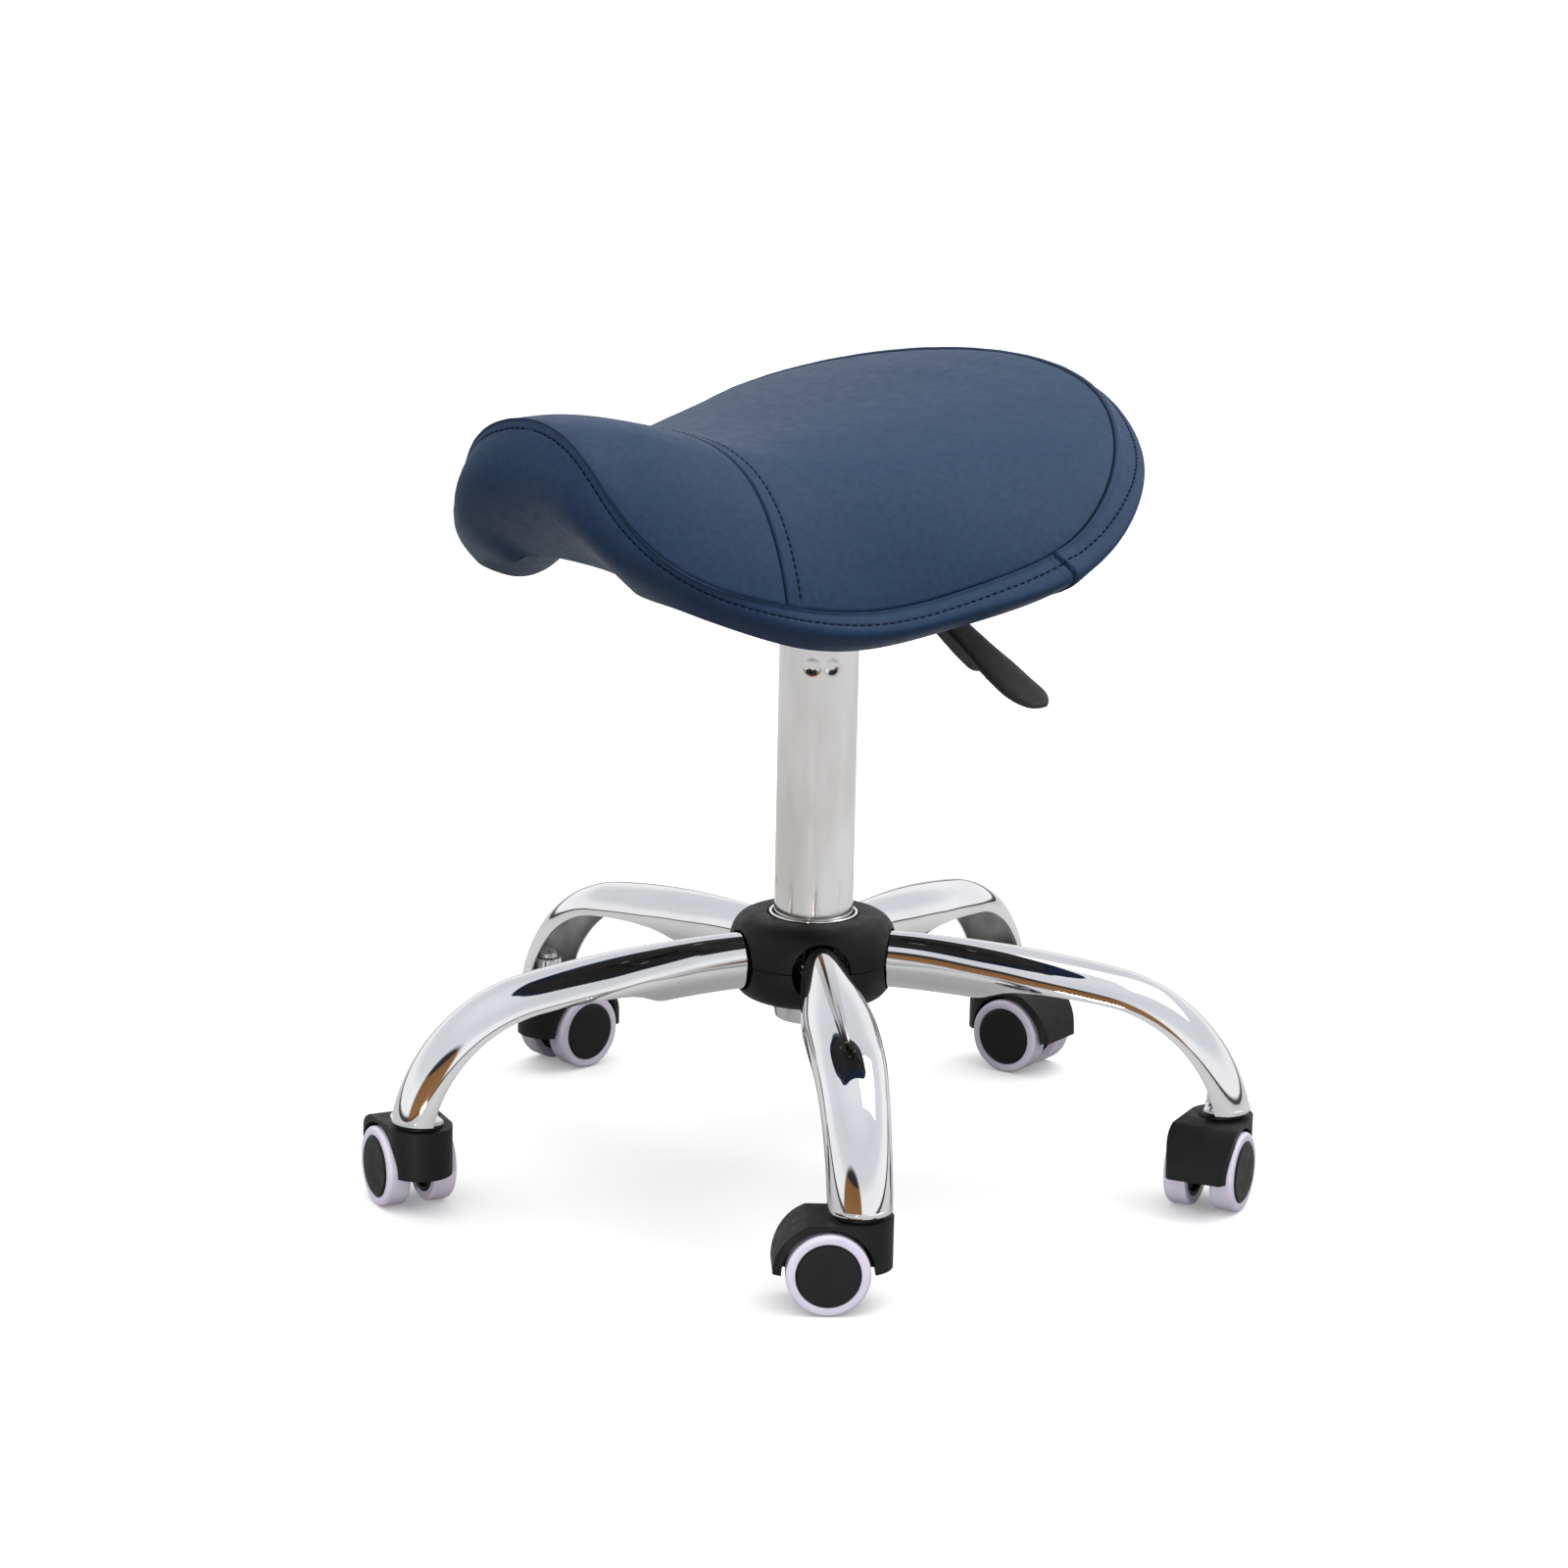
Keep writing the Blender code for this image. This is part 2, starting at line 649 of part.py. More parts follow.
def seam_loop():
    """Points of the whole seam, nose first, and the share of the way to the rear of each."""
    half = np.array(SEAM)
    mirrored = half[-2::-1] * (-1, 1, 1)
    loop = np.vstack([half, mirrored])
    reach = np.concatenate([[0], np.cumsum(np.linalg.norm(np.diff(loop, axis=0), axis=1))])
    at = reach[-1] * np.arange(AROUND) / AROUND
    share = 1 - np.abs(1 - 2 * np.arange(AROUND) / AROUND)
    return spline(reach, loop, at, closed=True), share


def outward_of(seam):
    """The direction away from the seat in plan at each seam point."""
    along = np.roll(seam, -1, axis=0) - np.roll(seam, 1, axis=0)
    outward = np.stack([along[:, 1], -along[:, 0], np.zeros(len(along))], axis=1)
    return outward / np.linalg.norm(outward, axis=1)[:, None]


def height_on(curve, y):
    table = np.array(curve)
    return spline(table[:, 0], table[:, 1:], np.clip(y, table[0, 0], table[-1, 0]))[:, 0]


def band_shape(share):
    """Height, bulge and lean of the side band from the nose (share 0) to the rear (share 1)."""
    toward_nose = ((1 + np.cos(np.pi * share)) / 2) ** NOSE_POWER
    toward_rear = np.clip((share - 0.5) * 2, 0, 1) ** 2
    shape = []
    for nose, flap, rear in zip(BAND_NOSE, BAND_FLAP, BAND_REAR):
        shape.append(flap + (nose - flap) * toward_nose + (rear - flap) * toward_rear)
    return shape


def spine(share):
    """Where each rib leaves the centre line, as y."""
    front, rear = SEAM[0][1], SEAM[-1][1]
    return (front + rear) / 2 - (rear - front) / 2 * 0.72 * np.cos(np.pi * share)


def seat_edge(inset):
    """The seam moved inwards by an inset, its outward directions and its shares."""
    seam, share = seam_loop()
    outward = outward_of(seam)
    return seam - outward * inset - np.array([0, 0, inset]), outward, share


def surface_rows(edge, share, curve, lift, power, parts):
    """Rows of points from the centre line (part 0) to an edge (part 1), over a centre curve."""
    middle = np.stack([np.zeros(len(share)), spine(share)], axis=1)
    drop = height_on(curve, edge[:, 1]) + lift - edge[:, 2]
    rows = []
    for part in parts:
        plan = middle + (edge[:, :2] - middle) * part
        height = height_on(curve, plan[:, 1]) + lift - drop * part**power
        rows.append(np.column_stack([plan, height]))
    return rows


def band_row(edge, outward, share, down):
    """One row of the side band: down is 0 at the seam and 1 at the bottom, per point or for all."""
    height, bulge, lean = band_shape(share)
    out = bulge * np.sin(np.pi * down) + lean * height * down
    return edge + outward * out[:, None] - np.outer(height * down, (0, 0, 1))


def loft_seat(name, rows):
    """Joins rows that start, and may end, on the centre line, where both sides share points."""
    points = []
    index = []
    for row in rows:
        on_centre = np.allclose(row[1:], row[:0:-1])
        numbers = []
        for k, point in enumerate(row):
            if on_centre and k > AROUND // 2:
                numbers.append(numbers[AROUND - k])
                continue
            numbers.append(len(points))
            points.append(point)
        index.append(numbers)
    faces = []
    for upper, lower in zip(index, index[1:]):
        for k in range(AROUND):
            n = (k + 1) % AROUND
            corners = list(dict.fromkeys((upper[k], upper[n], lower[n], lower[k])))
            if len(corners) > 2:
                faces.append(corners)
    return make_mesh(name, points, faces)


TOP_PARTS = (0, 0.25, 0.5, 0.7, 0.87, 1)
UNDER_PARTS = (0.8, 0.5, 0)


def seat_cover():
    """Sewn vinyl: two top panels, a side band and a hem that is stapled under the board."""
    edge, outward, share = seat_edge(0.0)
    rows = surface_rows(edge, share, RIDGE, 0.0, TOP_POWER, TOP_PARTS)
    rows += [band_row(edge, outward, share, np.full(AROUND, k / 6)) for k in range(1, 7)]
    rows += surface_rows(rows[-1], share, UNDER, 0.0, UNDER_POWER, (HEM,))
    sheet = loft_seat("seat_cover", rows)
    body = bpy.data.objects.new("sheet", sheet)
    bpy.context.scene.collection.objects.link(body)
    thicken = body.modifiers.new("thickness", "SOLIDIFY")
    thicken.thickness = VINYL
    thicken.offset = -1
    graph = bpy.context.evaluated_depsgraph_get()
    cover = bpy.data.meshes.new_from_object(body.evaluated_get(graph))
    bpy.data.objects.remove(body)
    return cover


def board_span(share):
    """Share of the band's height where the foam ends and the board starts, and where it ends."""
    height = band_shape(share)[0]
    end = 1 - BOARD_EDGE_RISE / height
    start = end - 0.7 * BOARD_THICKNESS / height
    return start - 0.0048 / height, start, end


def seat_foam():
    edge, outward, share = seat_edge(FOAM_INSET)
    foam_end, _, _ = board_span(share)
    rows = surface_rows(edge, share, RIDGE, -FOAM_INSET, TOP_POWER, TOP_PARTS)
    rows += [band_row(edge, outward, share, foam_end * k / 3) for k in range(1, 4)]
    rows[-1] = rows[-1] - outward * BOARD_BEVEL * 0.5
    lift = BOARD_INSET + BOARD_THICKNESS + FOAM_CLEARANCE
    rows += surface_rows(rows[-1], share, UNDER, lift, UNDER_POWER, UNDER_PARTS)
    return loft_seat("seat_foam", rows)


def seat_board():
    """Moulded plywood with a glued pad that gives the plate a flat face, and four bolt holes."""
    edge, outward, share = seat_edge(BOARD_INSET)
    _, start, end = board_span(share)
    top_edge = band_row(edge, outward, share, start) - outward * BOARD_BEVEL * 0.4
    low_edge = band_row(edge, outward, share, end) - outward * BOARD_BEVEL
    lift = BOARD_INSET + BOARD_THICKNESS
    rows = surface_rows(top_edge, share, UNDER, lift, UNDER_POWER, UNDER_PARTS[::-1] + (1,))
    rows += surface_rows(low_edge, share, UNDER, BOARD_INSET, UNDER_POWER, (1,) + UNDER_PARTS)
    shell = loft_seat("seat_board", rows)
    x, y, low, high = PAD
    pad = block((-x, -y, low), (x, y, high))
    return combined("seat_board", shell, ("UNION", pad), *bolt_holes(0.40, BOLT_TOP + 0.0005))


def bolt_places():
    return [(x, y, 0) for x in (-BOLT_X, BOLT_X) for y in (-BOLT_Y, BOLT_Y)]


def bolt_holes(low, high):
    """Boolean steps that bore the four bolt holes between two heights."""
    holes = [cylinder(BOLT_RADIUS + 0.0004, low, high, BOLT_SIDES) for _ in range(4)]
    return [("DIFFERENCE", moved(hole, Matrix.Translation(at))) for hole, at in zip(holes, bolt_places())]


def seat_plate():
    """Pressed plate with the lever's bracket and the socket for the gas cylinder."""
    x, y = PLATE_HALF
    flange = block((-x, -y, PLATE_Z[0]), (x, y, PLATE_Z[1]))
    steps = []
    inner, outer = BRACKET_SIDE
    for low, high in ((-outer, -inner), (inner, outer)):
        steps.append(("UNION", block((-0.024, low, BRACKET_BOTTOM), (0.040, high, PLATE_Z[0] + 0.001))))
    floor_corners = ((-0.0235, -0.0160, BRACKET_BOTTOM), (0.034, 0.0160, BRACKET_BOTTOM + 0.0025))
    steps.append(("UNION", block(*floor_corners)))
    steps.append(("UNION", cylinder(0.0185, SOCKET_BOTTOM, BRACKET_BOTTOM + 0.002, SOME)))
    socket_bore = cylinder(CYLINDER_RADIUS + 0.0004, 0.34, BRACKET_BOTTOM + 0.01, SOME)
    steps.append(("DIFFERENCE", socket_bore))
    steps.append(("DIFFERENCE", across(cylinder(PIVOT_RADIUS + GAP, -0.03, 0.03, FEW), *PIVOT)))
    steps += bolt_holes(0.41, 0.43)
    return combined("seat_plate", flange, *steps)


def bolt():
    """Hexagon bolt that stands head down, with its head just under the plate."""
    under = PLATE_Z[0] - GAP
    head = cylinder(0.0058, under - 0.004, under, 6)
    return combined("bolt", head, ("UNION", cylinder(BOLT_RADIUS, under - 0.001, BOLT_TOP, BOLT_SIDES)))


def lever():
    """One-piece moulded lever: a fork over the pivot, a deep arm, and a flat finger paddle."""
    points = []
    for x, half, top, depth in LEVER:
        below = LEVER_TAPER * half
        points += [(x, -half, top), (x, half, top), (x, below, top - depth), (x, -below, top - depth)]
    last = len(LEVER) - 1
    faces = [(0, 1, 2, 3), tuple(4 * last + k for k in (3, 2, 1, 0))]
    for row in range(last):
        for k in range(4):
            n = (k + 1) % 4
            faces.append((4 * row + k, 4 * row + n, 4 * row + 4 + n, 4 * row + 4 + k))
    bore = across(cylinder(PIVOT_RADIUS + GAP, -0.03, 0.03, FEW), *PIVOT)
    mesh = combined("lever", make_mesh("lever", points, faces), ("DIFFERENCE", bore))
    return moved(mesh, Matrix.Translation((-PIVOT[0], 0, -PIVOT[1])))


def build_seat(colours, seat_joint):
    navy, foam, wood, steel, black = colours
    place("seat_cover", seat_cover(), navy, seat_joint)
    place("seat_foam", seat_foam(), foam, seat_joint)
    place("seat_board", seat_board(), wood, seat_joint)
    place("seat_plate", seat_plate(), steel, seat_joint)
    place("gas_cylinder", gas_cylinder(), steel, seat_joint)
    fastener = bolt()
    for number, where in enumerate(bolt_places(), 1):
        place(f"seat_bolt_{number}", fastener, steel, seat_joint, where)
    pin = across(cylinder(PIVOT_RADIUS, -0.0175, 0.0175, FEW))
    place("lever_pin", pin, steel, seat_joint, (PIVOT[0], 0, PIVOT[1]))
    lever_joint = place_joint("lever_joint", (PIVOT[0], 0, PIVOT[1]), parent=seat_joint)
    place("lever", lever(), black, lever_joint)
    release = cylinder(RELEASE_RADIUS, RELEASE_BOTTOM, RELEASE_TOP, FEW)
    place("release_pin", release, steel, seat_joint)


def build():
    for old in list(bpy.data.objects):
        bpy.data.objects.remove(old)
    chrome = make_material("chrome", (0.80, 0.80, 0.80), 0.08, 1.0)
    steel = make_material("steel", (0.55, 0.56, 0.58), 0.30, 1.0)
    black = make_material("black_plastic", (0.015, 0.015, 0.016), 0.5)
    lilac = make_material("lilac_tread", (0.62, 0.56, 0.70), 0.45)
    navy = make_material("navy_vinyl", (0.028, 0.060, 0.140), 0.42)
    foam = make_material("foam", (0.75, 0.68, 0.45), 0.9)
    wood = make_material("plywood", (0.48, 0.32, 0.18), 0.6)
    nylon = make_material("nylon", (0.03, 0.03, 0.03), 0.5)
    stool = place_joint("stool", COLUMN_FOOT)
    swivel = place_joint("swivel_joint", (0, 0, 0), parent=stool)
    seat_joint = place_joint("lift_joint", (0, 0, 0), parent=swivel)
    build_base(chrome, black, stool)
    build_column(chrome, steel, nylon, stool, swivel)
    build_casters(black, lilac, steel, stool)
    build_seat((navy, foam, wood, steel, black), seat_joint)


build()
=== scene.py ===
"""Looks of the saddle stool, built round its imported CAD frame.

Metres, +Z up. Shapes are made about the column's axis, or about a caster's stem, and are then moved
to where the frame has that axis.
"""

import json
import math

import bmesh
import bpy
import numpy as np
from mathutils import Matrix, Vector

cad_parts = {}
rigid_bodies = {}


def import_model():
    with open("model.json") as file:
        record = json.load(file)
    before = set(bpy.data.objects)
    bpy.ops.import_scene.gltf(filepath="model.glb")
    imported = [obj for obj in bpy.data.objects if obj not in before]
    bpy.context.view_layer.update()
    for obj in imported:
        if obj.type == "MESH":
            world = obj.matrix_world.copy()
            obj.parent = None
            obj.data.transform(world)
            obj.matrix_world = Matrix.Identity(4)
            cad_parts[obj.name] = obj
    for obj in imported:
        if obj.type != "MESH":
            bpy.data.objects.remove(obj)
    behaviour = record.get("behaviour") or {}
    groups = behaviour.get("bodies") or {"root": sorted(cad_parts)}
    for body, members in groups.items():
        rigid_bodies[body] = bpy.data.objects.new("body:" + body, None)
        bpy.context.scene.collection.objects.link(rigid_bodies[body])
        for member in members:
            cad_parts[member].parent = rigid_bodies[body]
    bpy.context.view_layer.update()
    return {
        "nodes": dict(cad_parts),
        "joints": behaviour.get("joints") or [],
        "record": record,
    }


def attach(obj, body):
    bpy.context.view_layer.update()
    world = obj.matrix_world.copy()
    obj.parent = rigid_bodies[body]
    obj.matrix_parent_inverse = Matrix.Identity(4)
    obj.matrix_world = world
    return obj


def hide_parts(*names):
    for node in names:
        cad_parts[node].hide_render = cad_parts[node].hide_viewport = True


MM = 0.001
GAP = 0.0003
# edges that turn by more than this stay sharp
SHARP_DEG = 38

# camera, measured from the column's foot: distance, height, bearing and lens
CAMERA_DISTANCE = 2.8887
CAMERA_HEIGHT = 0.9667
CAMERA_AZIMUTH_DEG = 47.0
CAMERA_YAW_DEG = -0.4018
CAMERA_PITCH_DEG = 13.9629
CAMERA_ROLL_DEG = 1.1777
CAMERA_LENS = 108.87
CAMERA_SENSOR = 36.0

# legs
RIDGE_Z = 0.157
LEG_INNER_END = 0.0287
ARC_START = 0.047
SHOULDER_RADIUS = 0.818
SHOULDER_DEG = 10.4
KNEE_RADIUS = 0.108
KNEE_END_DEG = 84.0
LEG_WALL = 0.0016
LEG_FOOT = 0.0583
LEG_HALF_HEIGHT = (0.018, 0.019)
# distance from the column, half width, and how far the wall wraps round from the ridge in degrees
LEG_SECTIONS = (
    (0.028, 0.0145, 176),
    (0.070, 0.0155, 176),
    (0.105, 0.0190, 172),
    (0.122, 0.0212, 113),
    (0.150, 0.0235, 97),
    (0.190, 0.0231, 90),
    (0.235, 0.0211, 90),
    (0.290, 0.0190, 90),
)
FOOT_PLATE_RADIUS = 0.0184
SOCKET_RADIUS = 0.0095
SOCKET_TOP = 0.0765

# column
TUBE_RADIUS = 0.025
TUBE_BORE = 0.023
TUBE_LOW = 0.098
TUBE_TOP = 0.3435
# the floor across the tube's foot: underside, top, and radius of its hole
TUBE_FLOOR_LOW = 0.1040
TUBE_FLOOR_TOP = 0.1070
TUBE_FLOOR_HOLE = 0.0056
HUB_RADIUS = 0.0282
HUB_BOTTOM = 0.118
HUB_TOP = 0.1663
COVER_RADIUS = 0.053
COVER_SPLIT = 0.138
COVER_BOTTOM = 0.110
COVER_WALL = 0.0024
DIMPLE_Z = 0.3297
DIMPLE_DEG = -38.0
DIMPLE_HALF_ANGLE = 14.5
DIMPLE_RADIUS = 0.0045
DIMPLE_DEPTH = 0.0022
OPENING_HALF_WIDTH = 0.0187
OPENING_HALF_HEIGHT = 0.0192

# casters
WHEEL_RADIUS = 0.025
WHEEL_INNER = 0.0078
TYRE_OUTER = 0.0226
TYRE_DEPTH = 0.0056
DISC_OUTER = 0.0234
HOOD_TOP = 0.055
HOOD_BOTTOM = 0.0242
HOOD_HALF_WIDTH = 0.0215
HOOD_RADIUS = 0.0325
HOOD_STEM_RADIUS = 0.0200
BAY_RADIUS = 0.0275
WEB_HALF = 0.0034
STEM_RADIUS = 0.0055
STEM_NECK = 0.004
AXLE_RADIUS = 0.003
AXLE_HALF = 0.0208

# seat: half of the seam between the top panels and the side band, nose to rear
SEAM = (
    (0.0000, -0.2320, 0.5037),
    (0.0474, -0.2334, 0.4887),
    (0.0726, -0.2265, 0.4578),
    (0.1063, -0.2049, 0.4254),
    (0.1321, -0.1590, 0.4064),
    (0.1564, -0.0981, 0.3989),
    (0.1841, -0.0383, 0.4133),
    (0.1971, 0.0164, 0.4330),
    (0.1798, 0.0677, 0.4635),
    (0.1436, 0.1072, 0.4845),
    (0.0796, 0.1473, 0.5014),
    (0.0000, 0.1629, 0.5074),
)
# the seat's centre line on top, and the underside's, as y and z
RIDGE = (
    (-0.242, 0.5037), (-0.19, 0.5011), (-0.10, 0.4825), (-0.02, 0.4832), (0.06, 0.4926), (0.162, 0.5074),
)
UNDER = (
    (-0.242, 0.4250), (-0.16, 0.4340), (-0.08, 0.4358), (0.0, 0.4352), (0.055, 0.4378), (0.10, 0.4575),
    (0.162, 0.4880),
)
# where the rows of the top meet its centre line: share round the seam and y
SPINE = ((0.0, -0.1854), (0.15, -0.172), (0.3083, -0.148), (0.65, 0.010), (1.0, 0.105))
# side band from the nose (share 0) to the rear (share 1): share, height, bulge and lean
BAND = (
    (0.00, 0.0900, 0.0271, -0.380),
    (0.10, 0.0690, 0.0235, -0.470),
    (0.20, 0.0288, 0.0055, -0.512),
    (0.32, 0.0256, 0.0113, -0.334),
    (0.45, 0.0239, 0.0180, -0.277),
    (0.58, 0.0272, 0.0222, -0.240),
    (0.70, 0.0178, 0.0211, -0.194),
    (0.82, 0.0185, 0.0148, -0.147),
    (1.00, 0.0217, 0.0143, 0.092),
)
TOP_POWER = 3.0
UNDER_POWER = 2.2
HEM = 0.86
VINYL = 0.0015
BOARD_THICKNESS = 0.010
BOARD_INSET = 0.0045
BOARD_EDGE_RISE = 0.0085
BOARD_BEVEL = 0.0085
BOARD_TOP = 0.0160
PAD = (0.0742, 0.0558, 0.4255, 0.4418)
CROSS_SHARE = 0.3083
CROSS_BEND = 0.016
CROSS_STITCH = 0.0090
JOIN_SHARE = 0.5620
# distance of the band's stitch line from the seam: share and metres
BAND_STITCH = ((0.0, 0.0082), (0.38, 0.0080), (0.56, 0.0064), (1.0, 0.0062))
STITCH_LENGTH = 0.0038
STITCH_PITCH = 0.0046
THREAD_RADIUS = 0.00055
# radius of the dark tube laid along the seams as painted shade for their shadowed gaps
SEAM_SHADE_RADIUS = 0.0008

# cloth simulation of the padded panels: pressure, frames, the most a point may move, and the share of
# that by which the skin starts smaller
CLOTH_PRESSURE = 4.0
CLOTH_FRAMES = 18
CLOTH_CAP = 0.0024
CLOTH_START = 0.25

# lever stations: x, half width of its top plate, height of the top, and depth of the rib under it
LEVER = (
    (-0.001, 0.0060, 0.4148, 0.0060),
    (0.018, 0.0060, 0.4148, 0.0060),
    (0.025, 0.0060, 0.4170, 0.0102),
    (0.036, 0.0062, 0.4170, 0.0102),
    (0.050, 0.0068, 0.4100, 0.0100),
    (0.100, 0.0092, 0.3830, 0.0120),
    (0.130, 0.0112, 0.3674, 0.0130),
    (0.143, 0.0122, 0.3606, 0.0120),
    (0.155, 0.0142, 0.3543, 0.0040),
    (0.174, 0.0148, 0.3448, 0.0032),
    (0.1955, 0.0148, 0.3365, 0.0032),
)
PADDLE_CENTRE = 0.176
PADDLE_THICKNESS = 0.0034
RIB_INSET = 0.0018

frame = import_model()
JOINTS = {joint["name"]: joint for joint in frame["joints"]}
COLUMN = Vector(JOINTS["seat_swivel"]["pos_m"])
COLUMN.z = 0.0


# --- meshes -------------------------------------------------------------------------------------


def as_mesh(name, points, faces):
    """A mesh with its faces turned outwards, shaded smooth but for its sharp edges."""
    mesh = bpy.data.meshes.new(name)
    mesh.from_pydata([tuple(map(float, p)) for p in points], [], faces)
    work = bmesh.new()
    work.from_mesh(mesh)
    bmesh.ops.recalc_face_normals(work, faces=work.faces)
    work.to_mesh(mesh)
    work.free()
    mesh.shade_smooth()
    mesh.set_sharp_from_angle(angle=math.radians(SHARP_DEG))
    return mesh


def rounded(outline, radius, steps=4):
    """Rounds each corner of a closed outline; radius is one size, or one for each corner."""
    corners = [Vector(p) for p in outline]
    radii = radius if isinstance(radius, (list, tuple)) else [radius] * len(corners)
    result = []
    for k, corner in enumerate(corners):
        before = corners[k - 1] - corner
        after = corners[(k + 1) % len(corners)] - corner
        turn = math.pi - before.angle(after)
        if radii[k] <= 0 or turn < 0.02:
            result.append(tuple(corner))
            continue
        reach = min(radii[k] * math.tan(turn / 2), before.length * 0.48, after.length * 0.48)
        start = corner + before.normalized() * reach
        end = corner + after.normalized() * reach
        for j in range(steps + 1):
            t = j / steps
            result.append(tuple(start * (1 - t) ** 2 + corner * 2 * t * (1 - t) + end * t**2))
    return result


def arc(centre, radius, start, end, steps):
    """Points of an arc round a centre, from one angle to another in degrees."""
    angles = np.radians(np.linspace(start, end, steps + 1))
    return [(centre[0] + radius * math.cos(a), centre[1] + radius * math.sin(a)) for a in angles]


def lathe(name, outline, steps=96):
    """Turns a closed outline of (radius, height) points round the Z axis."""
    points = []
    rings = []
    for radius, height in outline:
        if radius < 1e-6:
            rings.append([len(points)] * steps)
            points.append((0, 0, height))
            continue
        rings.append(list(range(len(points), len(points) + steps)))
        for k in range(steps):
            angle = 2 * math.pi * k / steps
            points.append((radius * math.cos(angle), radius * math.sin(angle), height))
    faces = []
    for ring, following in zip(rings, rings[1:] + rings[:1]):
        for k in range(steps):
            n = (k + 1) % steps
            corners = list(dict.fromkeys((ring[k], ring[n], following[n], following[k])))
            if len(corners) > 2:
                faces.append(corners)
    return as_mesh(name, points, faces)


def ring_outline(inner, outer, low, high):
    """Corners of a plain ring or rod, as radius and height."""
    return (inner, low), (outer, low), (outer, high), (inner, high)


def solid_turned(name, outline, radius, steps=96):
    """A turned solid whose outline starts and ends on the axis, with its outer corners rounded."""
    radii = [0 if r < 1e-6 else radius for r, _ in outline]
    return lathe(name, rounded(outline, radii), steps)


def prism(outline, low, high, upright=False):
    """A prism along Y from (x, z) points, or along Z from (x, y) points."""
    count = len(outline)
    if upright:
        points = [(x, y, z) for z in (low, high) for x, y in outline]
    else:
        points = [(x, y, z) for y in (low, high) for x, z in outline]
    faces = [tuple(range(count)), tuple(range(2 * count - 1, count - 1, -1))]
    faces += [(k, (k + 1) % count, (k + 1) % count + count, k + count) for k in range(count)]
    return as_mesh("prism", points, faces)


def moved(mesh, matrix):
    """The same mesh, after its points are moved."""
    mesh.transform(matrix)
    return mesh


def laid(mesh, x=0.0, z=0.0):
    """Lays a turned mesh along the Y axis, at x and z."""
    return moved(mesh, Matrix.Translation((x, 0, z)) @ Matrix.Rotation(math.radians(90), 4, "X"))


def combined(name, base, *steps):
    """Applies Booleans to a mesh: each step is an operation and the other mesh."""
    scene = bpy.context.scene.collection.objects
    body = bpy.data.objects.new(name, base)
    scene.link(body)
    others = []
    for operation, mesh in steps:
        other = bpy.data.objects.new("other", mesh)
        scene.link(other)
        others.append(other)
        modifier = body.modifiers.new(operation, "BOOLEAN")
        modifier.operation = operation
        modifier.solver = "EXACT"
        modifier.object = other
    graph = bpy.context.evaluated_depsgraph_get()
    result = bpy.data.meshes.new_from_object(body.evaluated_get(graph))
    result.name = name
    for obj in [body, *others]:
        bpy.data.objects.remove(obj)
    result.shade_smooth()
    result.set_sharp_from_angle(angle=math.radians(SHARP_DEG))
    return result


def softened(obj, width, segments=3, angle=35):
    """Rounds an object's sharp edges and evens the shading of its flats."""
    bevel = obj.modifiers.new("edges", "BEVEL")
    bevel.width = width
    bevel.segments = segments
    bevel.limit_method = "ANGLE"
    bevel.angle_limit = math.radians(angle)
    bevel.harden_normals = True
    bevel.use_clamp_overlap = True


def grid_faces(rows, columns, wrap_rows=False):
    """Quads of a grid of points that is stored row by row; every row closes on itself."""
    faces = []
    for r in range(rows if wrap_rows else rows - 1):
        below = (r + 1) % rows * columns
        for c in range(columns):
            n = (c + 1) % columns
            faces.append((r * columns + c, r * columns + n, below + n, below + c))
    return faces


def spline(knots, values, at, closed=False):
    """A smooth cubic through values (one row for each knot), read at the given places."""
    knots = np.asarray(knots, float)
    values = np.asarray(values, float)
    spans = np.diff(knots)
    count = len(spans) if closed else len(knots)
    system = np.zeros((count, count))
    right = np.zeros((count, values.shape[1]))
    slopes = np.diff(values, axis=0) / spans[:, None]
    for k in range(count):
        if not closed and k in (0, count - 1):
            system[k, k] = 1.0
            continue
        system[k, k - 1] += spans[k - 1]
        system[k, k] += 2 * (spans[k - 1] + spans[k])
        system[k, (k + 1) % count] += spans[k]
        right[k] = 6 * (slopes[k] - slopes[k - 1])
    bend = np.linalg.solve(system, right)
    if closed:
        bend = np.vstack([bend, bend[:1]])
    span = np.clip(np.searchsorted(knots, at, side="right") - 1, 0, len(spans) - 1)
    width = spans[span][:, None]
    to_next = (knots[span + 1] - at)[:, None]
    from_last = (at - knots[span])[:, None]
    return (
        (bend[span] * to_next**3 + bend[span + 1] * from_last**3) / (6 * width)
        + (values[span] / width - bend[span] * width / 6) * to_next
        + (values[span + 1] / width - bend[span + 1] * width / 6) * from_last
    )


def bump(distance, width):
    """A bell of height 1 at distance 0."""
    return np.exp(-((distance / width) ** 2))


# --- materials ----------------------------------------------------------------------------------


